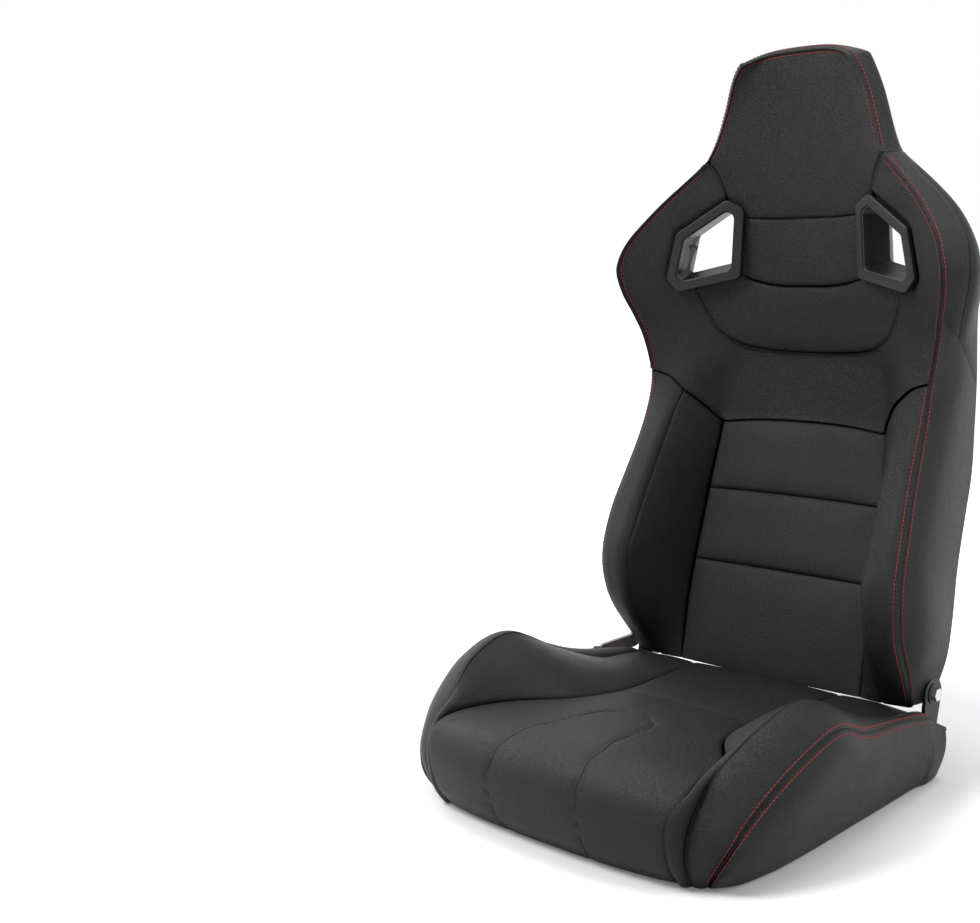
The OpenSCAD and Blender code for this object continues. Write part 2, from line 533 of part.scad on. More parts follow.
side_row = [[0, seat_hw - 38, 246, 50], [0.5, seat_hw - 36, 226, 56], [1, seat_hw - 33, 206, 62],
    [1.5, seat_hw - 30, 184, 67], [2, seat_hw - 21, 110, 80],
    [3, seat_hw - 8, 20, 95], [4, seat_hw, -50, 115], [5, seat_hw - 1, -118, 98], [6, seat_hw - 11, -170, 80],
    [7, seat_hw - 24, -199, 60], [8, seat_hw - 36, -212, 42], [9, seat_hw - 54, -213, 19],
    [10, seat_hw - 71, -205, 0]];
low_row = [[0, seat_hw - 43, 249, 28], [0.5, seat_hw - 39, 228, 30], [1, seat_hw - 36, 206, 30],
    [1.5, seat_hw - 36, 184, 31], [2, seat_hw - 30, 110, 38],
    [3, seat_hw - 22, 20, 42], [4, seat_hw - 17, -50, 45], [5, seat_hw - 17, -122, 42],
    [6, seat_hw - 24, -175, 36], [7, seat_hw - 34, -202, 30], [8, seat_hw - 43, -212, 22],
    [9, seat_hw - 58, -211, 9], [10, seat_hw - 70, -206, 0]];
floor_row = [[0, seat_hw - 52, 244, 0], [0.5, seat_hw - 48, 226, 0], [1, seat_hw - 47, 206, 0],
    [1.5, seat_hw - 50, 184, 0], [2, seat_hw - 47, 110, 0],
    [3, seat_hw - 44, 20, 0], [4, seat_hw - 41, -55, 0], [5, seat_hw - 41, -122, 0], [6, seat_hw - 46, -170, 0],
    [7, seat_hw - 52, -188, 0], [8, seat_hw - 58, -197, 0], [9, seat_hw - 64, -202, 0],
    [10, seat_hw - 69, -206, 0]];
// The way the surface faces, and the inside of the foam, at the same places
facing = [[0, 0, 0.2, 1], [1, 0, 0.1, 1], [2, 0, 0, 1], [3, 0, 0, 1], [4, 0, 0, 1], [5, 0, 0, 1],
    [6, 0, -0.3, 0.95], [7, 0, -0.75, 0.65], [8, 0, -1, 0.05], [9, 0, -1, -0.1], [10, 0, -1, 0]];
inside = [[0, 0, 236, pan_z], [0.5, 0, 222, pan_z], [1, 0, 205, pan_z], [1.5, 0, 186, pan_z],
    [2, 0, 110, pan_z], [3, 0, 20, pan_z], [4, 0, -60, pan_z],
    [5, 0, -125, pan_z], [6, 0, -172, pan_z], [7, 0, -196, pan_z - 1], [8, 0, -203, 36], [9, 0, -205, 16],
    [10, 0, -206, 0]];
function place(row, s) = let (p = curve(row, s)) [p[1], p[2], p[3]];
seat_rows = 20;
function station(i) = 10 * i / seat_rows;

module seat_cushion() {
    cols = 12;
    function skin(s, u) =
        let (c = place(mid_row, s), e = place(seam_row, s), n = unit(place(facing, s)))
        [u * (e.x - seam), mix(c.y, e.y, u * u), mix(c.z, e.z, u * u)]
        + n * (s > 9.9 ? 0 : crown * (1 - pow(u, 4)) * ramp(1, 3, s) - seam_draw);
    function under(s, u) =
        let (e = place(seam_row, s), p = place(inside, s)) [u * (e.x - seam), p.y, p.z];
    outer = [for (i = [0 : seat_rows]) [for (j = [0 : cols]) skin(station(i), 2 * j / cols - 1)]];
    inner = [for (i = [0 : seat_rows]) [for (j = [0 : cols]) under(station(i), 2 * j / cols - 1)]];
    color(leather) in_seat() slab(outer, inner);
}
bracket_slot = [plate_x - 0.8, 203, 262];
module seat_bolster() {
    cols = 10;
    split = 6;
    // From the cushion's seam up the inner face to the crest, then over to the stitched seam
    function skin(s, j) =
        let (a = place(seam_row, s) + [seam, 0, 0], b = place(crest_row, s), c = place(stitch_row, s),
            n = unit(place(facing, s) + [0.7, 0, 0]), t = j <= split ? j / split : (j - split) / (cols - split))
        j <= split ? mix(a, b, t) : mix(b, c, t) + n * 6 * (1 - pow(2 * t - 1, 2));
    function under(s, j) =
        let (o = skin(s, j), p = place(inside, s), c = place(stitch_row, s), low = place(low_row, s))
        [min(o.x, c.x - cover_t - 2, low.x - cover_t - 2), max(p.y, o.y + (s > 6.5 ? 12 : p.y - o.y)), min(p.z, o.z - (s > 6.5 ? 0 : 8))];
    outer = [for (i = [0 : seat_rows]) [for (j = [0 : cols]) skin(station(i), j)]];
    inner = [for (i = [0 : seat_rows]) [for (j = [0 : cols]) under(station(i), j)]];
    color(leather) in_seat() difference() {
        slab(outer, inner);
        translate([bracket_slot.x, bracket_slot.y, -1]) cube([plate_t + 1.6, bracket_slot.z - bracket_slot.y, 200]);
    }
}
module seat_bolster_left() { seat_bolster(); }
module seat_bolster_right() { mirror([1, 0, 0]) seat_bolster(); }
module seat_side() {
    cols = 6;
    function skin(s, t) =
        let (a = place(stitch_row, s) + [seam_gap, 0, 0], b = place(side_row, s), c = place(low_row, s),
            d = place(floor_row, s))
        let (p = curve([[0, a.x, a.y, a.z], [0.35, b.x, b.y, b.z], [0.72, c.x, c.y, c.z], [1, d.x, d.y, d.z]], t))
        [p[1], p[2], p[3]];
    function under(p, t) =
        let (q = towards([p.x, p.y], [150, min(200, max(-140, p.y))], cover_t * (0.15 + 0.85 * ramp(0, 0.4, t))))
        [q.x, q.y, p.z];
    outer = [for (i = [0 : seat_rows]) [for (j = [0 : cols]) skin(station(i), j / cols)]];
    inner = [for (r = outer) [for (j = [0 : cols]) under(r[j], j / cols)]];
    color(leather) in_seat() slab(outer, inner);
}
module seat_side_left() { seat_side(); }
module seat_side_right() { mirror([1, 0, 0]) seat_side(); }

// ---------- seat frame ----------

rail_x = mount_across / 2;
rail_front = -186;
rear_tube_y = 205;
rear_tube_l = 32;
rear_tube_z = 14;           // the rear tube stands clear of the floor
rail_span = rear_tube_y - rail_front;
mount_mid = -5;             // middle of the mounting pattern, in the lists' depth
tube_end = plate_x - run_gap;
module box_tube(size, wall, along) {
    hole = [for (k = [0 : 2]) along[k] == 1 ? size[k] + 2 : size[k] - 2 * wall];
    difference() {
        cube(size);
        translate((size - hole) / 2) cube(hole);
    }
}
bracket_bolt_y = [rear_tube_y + 9, rear_tube_y + 24];
bracket_bolt_z = rear_tube_z + 13;
bracket_bolt_r = 4;
module mount_holes(r, z, h) {
    for (sx = [-1, 1], sy = [-1, 1])
        translate([sx * rail_x, mount_mid + sy * mount_along / 2, z]) cylinder(h = h, r = r);
}
module base_frame() {
    color(steel_black) in_seat() difference() {
        union() {
            for (s = [-1, 1])
                translate([s * rail_x - rail_w / 2, rail_front, 0]) box_tube([rail_w, rail_span, rail_h], tube_wall, [0, 1, 0]);
            translate([-rail_x + rail_w / 2 - 1, rail_front + 14, rail_h - tube_r]) rotate([0, 90, 0])
                difference() {
                    cylinder(h = 2 * rail_x - rail_w + 2, r = tube_r);
                    translate([0, 0, -1]) cylinder(h = 2 * rail_x, r = tube_r - tube_wall);
                }
            translate([-tube_end, rear_tube_y, rear_tube_z])
                box_tube([2 * tube_end, rear_tube_l, rail_h - rear_tube_z], tube_wall, [1, 0, 0]);
            // End plugs that take the bracket bolts
            for (s = [-1, 1]) translate([s * (tube_end - 12) - 12, rear_tube_y + 1, rear_tube_z + 1])
                cube([24, rear_tube_l - 2, rail_h - rear_tube_z - 2]);
            mount_holes(mount_d / 2 + 6, 0, mount_depth);
        }
        mount_holes(mount_d / 2, -1, mount_depth + 2);
        for (y = bracket_bolt_y, s = [-1, 1])
            translate([s * (tube_end - 9) - 11, y, bracket_bolt_z]) rotate([0, 90, 0]) cylinder(h = 22, r = bracket_bolt_r);
    }
}
// A tube along points, with a ring of flats at every point; the bends lie square to an axis
module tube(p, r, sides, axis) {
    n = len(p);
    function leg(i) = unit(p[i + 1] - p[i]);
    function ahead(i) = i == 0 ? leg(0) : i == n - 1 ? leg(n - 2) : unit(leg(i - 1) + leg(i));
    function out(i) = unit(cross(ahead(i), axis));
    function spoke(k) = [cos(360 * k / sides), sin(360 * k / sides)];
    function ring(i) = [for (k = [0 : sides - 1])
        p[i] + r * (spoke(k).x * out(i) + spoke(k).y * cross(out(i), ahead(i)))];
    points = [for (i = [0 : n - 1]) each ring(i)];
    shell = [for (i = [0 : n - 2], k = [0 : sides - 1]) let (a = i * sides, b = a + sides, m = (k + 1) % sides)
        each [[a + k, a + m, b + m], [a + k, b + m, b + k]]];
    far = (n - 1) * sides;
    caps = [for (k = [1 : sides - 2]) each [[0, k + 1, k], [far, far + k, far + k + 1]]];
    polyhedron(points, concat(shell, caps));
}
spring_z = rail_h + wire_d / 2 + run_gap;
module seat_springs() {
    from = rail_front + 6;
    to = rear_tube_y + 24;
    bends = 10;
    swing = 17;
    color(steel_bright) in_seat() for (x = [-100, -50, 0, 50, 100]) {
        zigzag = [for (i = [0 : bends], s = [-1, 1])
            [x + swing * (i % 2 == 0 ? 1 : -1) * s, mix(from, to, (i + 0.5) / (bends + 1)), spring_z]];
        tube(concat([[x - swing, from - 3, spring_z]], zigzag, [[last(zigzag).x, to + 3, spring_z]]),
            wire_d / 2, 6, [0, 0, 1]);
    }
}
module dust_cover() {
    w = 2 * rail_x - rail_w - 1;
    color("#151617") in_seat() translate([-w / 2, rail_front + 2, 2]) cube([w, rail_span - 3, 1.6]);
}
rear_panel_z = 60;
module seat_rear_panel() {
    w = 2 * (seat_hw - 62);
    color(leather) in_seat() translate([-w / 2, rear_tube_y + rear_tube_l + run_gap, 0]) cube([w, 4, rear_panel_z]);
}

// ---------- hinge ----------

function arc(c, r, from, to, n) = [for (i = [0 : n]) c + r * [cos(mix(from, to, i / n)), sin(mix(from, to, i / n))]];
pivot = [pivot_y, pivot_z];
// Extrudes a [y, z] outline from one x to another
module plate(from, to) { in_seat() translate([from, 0, 0]) rotate([90, 0, 90]) linear_extrude(to - from) children(); }
module across(p, r, from, to) { plate(from, to) translate(p) circle(r = r); }
stem_y = [208, 235];
stem_foot = rear_tube_z + 3;
sink = 3;                   // depth of the bolts' countersunk heads
module countersink(y, gap) {
    in_seat() translate([plate_x + plate_t - sink, y, bracket_bolt_z]) rotate([0, 90, 0])
        cylinder(h = sink, r1 = bracket_bolt_r + gap, r2 = bracket_bolt_r + sink + gap);
}
module lower_bracket(low_front) {
    color(steel_black) difference() {
        plate(plate_x, plate_x + plate_t) union() {
            translate(pivot) circle(r = eye_d / 2);
            polygon(concat([[stem_y[1], stem_foot], [stem_y[1], 60], [pivot_y + eye_d / 2 - 2, pivot_z - 10]],
                [[pivot_y - 8, pivot_z + eye_d / 2 - 2]], low_front, [[stem_y[0], stem_foot]]));
        }
        across(pivot, pivot_d / 2 + run_gap, plate_x - 1, plate_x + plate_t + 1);
        for (y = bracket_bolt_y) {
            across([y, bracket_bolt_z], bracket_bolt_r + run_gap, plate_x - 1, plate_x + plate_t + 1);
            countersink(y, run_gap);
        }
    }
}
module hinge_bracket_left() { lower_bracket([[pivot_y - eye_d / 2, pivot_z - 12], [stem_y[0], 62]]); }
module hinge_bracket_right() {
    mirror([1, 0, 0]) lower_bracket([[pivot_y - 20, pivot_z + 10], [pivot_y - eye_d / 2 - 6, pivot_z - 20], [stem_y[0], 62]]);
}
module bracket_bolts() {
    color(steel_bright) both_sides() for (y = bracket_bolt_y) {
        across([y, bracket_bolt_z], bracket_bolt_r - 0.1, tube_end - 16, plate_x + plate_t - sink / 2);
        countersink(y, 0);
    }
}
washer_t = 1.5;
bolt_head = 5.5;
module pivot_bolt() {
    head_x = plate_x + plate_t + washer_t + 0.1;
    color(steel_bright) {
        across(pivot, pivot_d / 2, arm_x - 10, head_x + 0.5);
        plate(head_x, head_x + bolt_head) translate(pivot) circle(r = pivot_d * 0.85, $fn = 6);
    }
}
module pivot_bush() {
    color(steel_bright) difference() {
        across(pivot, pivot_d / 2 + 3, arm_x + plate_t + run_gap / 2, plate_x - run_gap / 2);
        across(pivot, pivot_d / 2 + 0.05, arm_x, plate_x);
    }
}
module pivot_washer() {
    color(steel_black) difference() {
        across(pivot, pivot_d + 3, plate_x + plate_t, plate_x + plate_t + washer_t);
        across(pivot, pivot_d / 2 + 0.1, plate_x, plate_x + plate_t + washer_t + 1);
    }
}
module pivot_nut() {
    color(steel_bright) difference() {
        plate(arm_x - 8.3, arm_x - run_gap) translate(pivot) circle(r = pivot_d * 0.9, $fn = 6);
        across(pivot, pivot_d / 2, arm_x - 10, arm_x + 1);
    }
}
// The arm rises behind the pads and is welded to the backrest tube
arm_heights = [pivot_z + 32, 200, 245, 285];
function arm_edge(heights, d) = [for (z = heights) [tube_y(arm_x, z) + d, z]];
module hinge_arm(bore) {
    outline = concat(arc(pivot, arm_r, 120, 370, 20), arm_edge(arm_heights, tube_r - 1),
        reversed(arm_edge(concat([pivot_z + 17], arm_heights), -tube_r)));
    color(steel_black) difference() {
        plate(arm_x, arm_x + plate_t) polygon(outline);
        across(pivot, bore, arm_x - 1, arm_x + plate_t + 1);
    }
}
module hinge_arm_left() { hinge_arm(pivot_d / 2 + run_gap); }
module hinge_arm_right() { mirror([1, 0, 0]) hinge_arm(shaft_d / 2 + run_gap); }

// ---------- recliner on the -X side, drawn on +X and mirrored ----------

hub_x = arm_x + plate_t;                       // the hub lies against the arm
hub_t = 4;
housing_x = hub_x + hub_t + run_gap;
cavity = 3.8;
rim_r = recliner_d / 2 - 5;                    // inside of the housing's rim
ring_r = rim_r - run_gap;                      // outside of the hub's ring
lock_r = ring_r - 4;                           // inside of the hub's ring
cam_r = 10;
cam_half = 3.5;
pawl_w = 12;
module recliner_housing() {
    color(steel_black) mirror([1, 0, 0]) {
        difference() {
            across(pivot, recliner_d / 2, housing_x, plate_x - 0.1);
            across(pivot, rim_r, housing_x - 1, housing_x + cavity);
            across(pivot, shaft_d / 2 + run_gap, housing_x - 1, plate_x + 1);
        }
        // Guides on both sides of each pawl
        for (sy = [-1, 1], sz = [-1, 1])
            plate(housing_x + 0.4, housing_x + cavity) translate(pivot + [sy * 8, sz * 10.8]) square([3, 4.4], center = true);
    }
}
module recliner_hub() {
    color(steel_bright) mirror([1, 0, 0]) difference() {
        union() {
            across(pivot, recliner_d / 2, hub_x, hub_x + hub_t);
            across(pivot, ring_r, hub_x + hub_t - 0.5, housing_x + cavity - run_gap);
        }
        across(pivot, lock_r, hub_x + hub_t, housing_x + cavity + 1);
        across(pivot, shaft_d / 2 + run_gap, hub_x - 1, hub_x + hub_t + 1);
    }
}
lever_x = plate_x + plate_t + 12;
module recliner_cam() {
    color(steel_bright) mirror([1, 0, 0]) union() {
        plate(hub_x + hub_t + 0.3, housing_x + cavity - 0.3) translate(pivot) union() {
            for (s = [-1, 1]) translate([0, s * (cam_r - cam_half)]) circle(r = cam_half);
            square([2 * cam_half, 2 * (cam_r - cam_half)], center = true);
        }
        across(pivot, shaft_d / 2, arm_x - 2, lever_x + plate_t - 0.2);
    }
}
module pawl(s) {
    inner = cam_r + run_gap;
    color(steel_bright) mirror([1, 0, 0]) plate(hub_x + hub_t + 0.4, housing_x + cavity - 0.3) intersection() {
        translate(pivot) circle(r = lock_r - run_gap);
        translate(pivot + [-pawl_w / 2, s > 0 ? inner : -inner - 20]) square([pawl_w, 20]);
    }
}
module recliner_pawl_upper() { pawl(1); }
module recliner_pawl_lower() { pawl(-1); }

lever_out = 27;                                // how far the lever's arm stands out from its hub
lever_drop = 21;                               // angle of the arm below the horizontal
function lever_at(s, w) = pivot + [-s * cos(lever_drop) + w * sin(lever_drop), -s * sin(lever_drop) - w * cos(lever_drop)];
module lever_strip(a, b) { polygon([lever_at(a, -10), lever_at(b, -10), lever_at(b, 10), lever_at(a, 10)]); }
module release_lever() {
    bend = [24, 56];
    color("#6d6f72") mirror([1, 0, 0]) difference() {
        union() {
            plate(lever_x, lever_x + plate_t) union() {
                translate(pivot) circle(r = 15);
                polygon([lever_at(0, -14), lever_at(bend[0], -10), lever_at(bend[0], 10), lever_at(0, 14)]);
            }
            // The sloping stretch, then the arm
            hull() {
                plate(lever_x, lever_x + plate_t) lever_strip(bend[0] - 2, bend[0]);
                plate(lever_x + lever_out, lever_x + lever_out + plate_t) lever_strip(bend[1], bend[1] + 2);
            }
            plate(lever_x + lever_out, lever_x + lever_out + plate_t) polygon([lever_at(bend[1], -10),
                lever_at(lever_len + 16, -8), lever_at(lever_len + 16, 8), lever_at(bend[1], 10)]);
        }
        across(pivot, shaft_d / 2 + 0.02, lever_x - 1, lever_x + plate_t + 1);
    }
}
grip_from = 66;
module lever_grip() {
    x0 = lever_x + lever_out - 3.2;
    color(plastic) mirror([1, 0, 0]) difference() {
        plate(x0, x0 + plate_t + 6.4) union() {
            polygon([lever_at(grip_from, -12), lever_at(lever_len + 14, -12), lever_at(lever_len + 14, 12), lever_at(grip_from, 12)]);
            translate(lever_at(lever_len + 14, 0)) circle(r = 12);
        }
        plate(lever_x + lever_out - 0.1, lever_x + lever_out + plate_t + 0.1) polygon([lever_at(grip_from - 5, -10.2),
            lever_at(lever_len + 16.2, -8.2), lever_at(lever_len + 16.2, 8.2), lever_at(grip_from - 5, 10.2)]);
    }
}
module lever_screw() {
    color(steel_bright) mirror([1, 0, 0])
        across(pivot, shaft_d / 2 + 3, lever_x + plate_t + 0.1, lever_x + plate_t + 3);
}
// A torsion spring round the cam shaft, between the bracket and the lever
module lever_spring() {
    wire_r = 0.8;
    coil_r = shaft_d / 2 + 3;
    room = lever_x - plate_x - plate_t - 2 * wire_r - 1;
    steps = spring_turns * 16;
    route = [for (i = [0 : steps]) let (a = 22.5 * i)
        [plate_x + plate_t + wire_r + 0.5 + room * i / steps, pivot_y + coil_r * cos(a), pivot_z + coil_r * sin(a)]];
    color(steel_bright) mirror([1, 0, 0]) in_seat() tube(route, wire_r, 6, [1, 0, 0]);
}
// ---------- backrest frame ----------

tube_x = arm_x - tube_r;                       // the tube is welded to the arm's inner face
function at_back(x, z) = [x, tube_y(x, z), z];
head_tube_x = 66;
upright = concat([for (z = [150 : 40 : 510]) at_back(tube_x, z)], [at_back(165, 532), at_back(120, 562),
    at_back(82, 592), at_back(70, 620)], [for (z = [660 : 40 : 820]) at_back(head_tube_x, z)]);
top_bar = [for (x = [44, 22, 0]) at_back(x, last(upright).z + 15)];
hoop = [at_back(tube_x, 500), at_back(216, 545), at_back(226, 580), at_back(229, 615), at_back(226, 650),
    at_back(210, 684), at_back(186, 712), at_back(150, 738), at_back(110, 758), at_back(head_tube_x, 775)];
bar_heights = [200, 420];
function flip_each(p) = [for (q = p) [-q.x, q.y, q.z]];
// A run of tube on one side, and the same carried on over the middle to the other side
module half_tube(p, r, sides) { tube(p, r, sides, [0, 1, 0]); }
module whole_tube(p, r, sides) { half_tube(concat(p, [for (i = [len(p) - 2 : -1 : 0]) flip_each(p)[i]]), r, sides); }
module back_frame() {
    color(steel_black) in_seat() union() {
        whole_tube(concat(upright, top_bar), tube_r, 12);
        both_sides() half_tube(hoop, hoop_d / 2, 8);
        // Bars across, bowed with the back
        for (z = bar_heights) whole_tube([for (t = [1, 0.85, 0.65, 0.4, 0]) at_back(tube_x * t, z)], tube_r - 2, 10);
    }
}
module rod(p, q, r) {
    v = q - p;
    l = norm(v);
    translate(p) rotate([0, acos(v.z / l), atan2(v.y, v.x)]) cylinder(h = l, r = r);
}
mat_x = tube_x - tube_r - 6;
mat_gap = 1;
mat_t = 2;
hook_r = 1.5;
hook_reach = tube_r + hook_r + run_gap;
hook_turn = 30;             // the hooks meet the tube this far forward of its side
module suspension_mat() {
    rows = 12;
    cols = 8;
    spots = [for (i = [0 : rows]) [for (j = [0 : cols]) [mat_x * (2 * j / cols - 1), mix(145, 480, i / rows)]]];
    front = [for (r = spots) [for (p = r) [p.x, mid_y(p.x, p.y) + mat_gap, p.y]]];
    rear = [for (r = spots) [for (p = r) [p.x, mid_y(p.x, p.y) + mat_gap + mat_t, p.y]]];
    color("#d8d4c8") in_seat() slab(rear, front);
}
module mat_hooks() {
    color(steel_bright) in_seat() both_sides() for (z = [170, 240, 310, 380, 450]) {
        p = [mat_x - 8, mid_y(mat_x - 8, z) + mat_gap + mat_t + hook_r + 1, z];
        rod(p, [tube_x - hook_reach * cos(hook_turn), tube_y(tube_x, z) - hook_reach * sin(hook_turn), z], hook_r);
    }
}

base_frame();
seat_springs();
dust_cover();
seat_cushion();
seat_bolster_left();
seat_bolster_right();
seat_side_left();
seat_side_right();
seat_rear_panel();
hinge_bracket_left();
hinge_bracket_right();
bracket_bolts();
pivot_bolt();
pivot_bush();
pivot_washer();
pivot_nut();
recliner_housing();
recliner_hub();
recliner_cam();
recliner_pawl_upper();
recliner_pawl_lower();
release_lever();
lever_grip();
lever_screw();
lever_spring();
back_frame();
hinge_arm_left();
hinge_arm_right();
suspension_mat();
mat_hooks();
headrest_pad();
neck_pad();
yoke_pad();
upper_back_pad();
insert_pad_upper();
insert_pad_middle();
insert_pad_lower();
inner_bolster_left();
inner_bolster_right();
back_bolster_left();
back_bolster_right();
back_side_left();
back_side_right();
head_band();
back_cover();
harness_bezel_left();
harness_bezel_right();
rear_bezel_left();
rear_bezel_right();
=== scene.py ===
# The looks of the racing seat: sewn leather panels, stitches, plastic rings and metal,
# placed over the frame's own bodies. Lengths are written in millimetres, in the same
# depth as the part's own lists, and become metres where a mesh is made.
import math

import bmesh
import bpy
import numpy as np
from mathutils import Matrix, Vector
from mathutils.bvhtree import BVHTree


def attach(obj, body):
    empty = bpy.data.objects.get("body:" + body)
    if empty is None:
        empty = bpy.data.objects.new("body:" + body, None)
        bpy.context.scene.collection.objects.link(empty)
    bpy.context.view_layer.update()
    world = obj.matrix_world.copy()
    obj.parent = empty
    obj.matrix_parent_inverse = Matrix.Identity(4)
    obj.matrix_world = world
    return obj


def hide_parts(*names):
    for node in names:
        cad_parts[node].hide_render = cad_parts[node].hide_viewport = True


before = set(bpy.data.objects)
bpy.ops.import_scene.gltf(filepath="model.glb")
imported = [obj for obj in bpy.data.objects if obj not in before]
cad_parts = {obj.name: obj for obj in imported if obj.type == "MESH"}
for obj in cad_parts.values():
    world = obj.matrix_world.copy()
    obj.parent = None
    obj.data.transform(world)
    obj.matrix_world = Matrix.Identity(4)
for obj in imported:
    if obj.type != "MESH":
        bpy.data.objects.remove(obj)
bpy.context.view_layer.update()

MM = 0.001
DEPTH_CENTRE = 48.0


def placed(name, data):
    """A new object in the scene."""
    made = bpy.data.objects.new(name, data)
    bpy.context.scene.collection.objects.link(made)
    return made


# ---------- camera: the photograph's view ----------

camera_data = bpy.data.cameras.new("camera")
camera_data.lens = 55.19
camera_data.sensor_width = 36.0
camera_data.clip_end = 50.0
camera = placed("camera", camera_data)
camera.location = (1.1343, -1.4755, 0.7037)
camera.rotation_euler = [math.radians(angle) for angle in (81.2256, 1.8143, 45.1504)]
bpy.context.scene.camera = camera

# ---------- the seat's sizes ----------

INSERT_TOP = 435.0
INSERT_EDGE = INSERT_TOP - 7
PLEAT_H = 98.0
INSERT_FOOT = 99.3
COVER_FOOT = 101.0
WAIST_TOP = 502.0
NECK_Z = 783.0
HEAD_CORNER = 910.0
HEAD_MIDDLE = 850.0
SEAM = 0.4
COVER_T = 5.0
HOLLOW = 22.0
PAN_Z = 44.2
WINDOW = np.array([140.0, 259.0, 672.0])
TUNNEL_TURN = 19.0
BEZEL_RIM = 14.0
BEZEL_LIP = 6.0
TUNNEL_WALL = 3.0
THROAT_DEPTH = 34.0
THROAT_RISE = 10.0
REAR_RIM = 8.0
RING_TUCK = 4.0
RING_REACH = 9.0
REAR_TURN = 10.0

# The backrest, at rising heights: depth in the middle, then x and depth on lines beside it
CENTRE_LINE = [[98, 192], [125, 200], [196, 217], [240, 230], [300, 249], [352, 265], [408, 279],
               [440, 287], [500, 295], [527, 298], [616, 287], [706, 285], [786, 284], [860, 282],
               [925, 276]]
INSERT_LINE = [[98, 143, 195], [125, 143, 201], [195, 143, 217], [252, 142, 234], [301, 140, 249],
               [352, 137, 263], [430, 128, 280], [478, 122, 286], [530, 96, 294], [616, 92, 286],
               [706, 86, 280], [786, 80, 278], [860, 68, 279], [925, 50, 275]]
CREASE_LINE = [[98, 178, 193], [125, 180, 178], [160, 182, 153], [200, 183, 138], [261, 183, 132],
               [290, 181, 144], [332, 179, 165], [381, 177, 192], [429, 173, 216], [475, 168, 240],
               [505, 166, 251], [557, 165, 261], [611, 160, 260], [690, 150, 257], [733, 140, 254],
               [786, 108, 268], [860, 92, 274], [925, 70, 272]]
CREST_LINE = [[98, 216, 200], [125, 222, 184], [152, 227, 169], [175, 230, 154], [200, 232, 142],
              [237, 234, 136], [274, 233, 141], [314, 231, 155], [361, 225, 178], [408, 220, 202],
              [463, 217, 224], [502, 218, 231], [549, 228, 227], [581, 237, 216], [610, 246, 204],
              [640, 250, 197], [662, 245, 200], [683, 235, 208], [705, 218, 219], [733, 192, 233],
              [760, 162, 246], [783, 137, 254], [800, 128, 259], [819, 121, 263], [858, 109, 266],
              [892, 97, 263], [913, 82, 262], [925, 72, 262]]
SIDE_LINE = [[98, 219, 225], [125, 223, 216], [142, 228, 206], [163, 236, 192], [196, 244, 184],
             [238, 245, 180], [280, 241, 186], [351, 233, 222], [426, 227, 258], [462, 227, 270],
             [513, 231, 278], [544, 238, 268], [567, 248, 256], [602, 263, 244], [629, 269, 240],
             [648, 268, 241], [674, 258, 250], [709, 233, 263], [740, 200, 272], [766, 166, 279],
             [786, 142, 283], [820, 129, 285], [860, 117, 286], [892, 105, 284], [913, 95, 281],
             [925, 82, 278]]
# The back: height, x and depth of its edge, and depth in the middle
REAR_LINE = [[98, 219, 246, 246], [151, 232, 258, 263], [200, 236, 264, 280], [268, 234, 280, 303],
             [327, 227, 311, 329], [379, 221, 337, 350], [442, 220, 345, 361], [500, 226, 337, 357],
             [540, 236, 317, 345], [584, 248, 293, 330], [613, 254, 286, 324], [650, 248, 291, 322],
             [689, 222, 303, 323], [717, 194, 308, 326], [751, 162, 307, 328], [781, 138, 303, 328],
             [816, 122, 303, 327], [863, 109, 300, 322], [895, 97, 296, 314], [913, 87, 291, 307],
             [925, 77, 286, 298]]
WINDOW_CORNERS = [(-31, 62), (-56, 48), (-50, -45), (40, -63), (57, -44), (42, 18)]
CORNER_R = 9.0


# ---------- curves ----------

def hermite(knots, values, s):
    """Smooth curve at s. Knots and values have one row per knot and one column per point."""
    slopes = np.empty_like(values)
    slopes[0] = (values[1] - values[0]) / (knots[1] - knots[0])
    slopes[-1] = (values[-1] - values[-2]) / (knots[-1] - knots[-2])
    slopes[1:-1] = (values[2:] - values[:-2]) / (knots[2:] - knots[:-2])
    index = np.clip((s[None] >= knots[1:-1]).sum(0), 0, len(knots) - 2)
    column = np.arange(len(s))
    k0 = knots[index, column]
    h = knots[index + 1, column] - k0
    t = np.clip((s - k0) / h, 0, 1)
    return (values[index, column] * (1 + 2 * t) * (1 - t) ** 2
            + values[index + 1, column] * t * t * (3 - 2 * t)
            + slopes[index, column] * h * t * (1 - t) ** 2
            - slopes[index + 1, column] * h * t * t * (1 - t))


def curve(points, s):
    """The values of a list of [station, values...] at stations s, one column per value."""
    points = np.asarray(points, float)
    flat = np.atleast_1d(np.asarray(s, float)).ravel()
    rows = [np.repeat(point[None, 1:], len(flat), 0) for point in points]
    return between_rows(points[:, 0], rows, flat).reshape(np.shape(s) + (-1,))


def unit(v):
    return v / np.linalg.norm(v, axis=-1, keepdims=True)


def mirrored(half):
    """Rows of points down to the middle, and their mirror image back up."""
    other = half[-2::-1].copy()
    other[..., 0] *= -1
    return np.concatenate([half, other])


def between_rows(knots, rows, t):
    """Smooth curves at t through the matching points of several rows."""
    places = np.repeat(np.array(knots)[:, None], len(t), 1)
    columns = [hermite(places, np.stack([row[:, k] for row in rows]), t) for k in range(rows[0].shape[1])]
    return np.stack(columns, -1)


def ramp(a, b, s):
    t = np.clip((s - a) / (b - a), 0, 1)
    return t * t * (3 - 2 * t)


def run_length(points):
    """The length along a line up to each of its points."""
    steps = np.linalg.norm(np.diff(points, axis=0), axis=1)
    return np.concatenate([[0], np.cumsum(steps)])


def along(points, where):
    """Points at fractions of the length along a smooth curve through points."""
    points = np.asarray(points, float)
    length = run_length(points)
    return curve(np.column_stack([length, points]), np.asarray(where) * length[-1])


def path(points, n):
    """n + 1 points along a smooth curve through points."""
    return along(points, np.linspace(0, 1, n + 1))


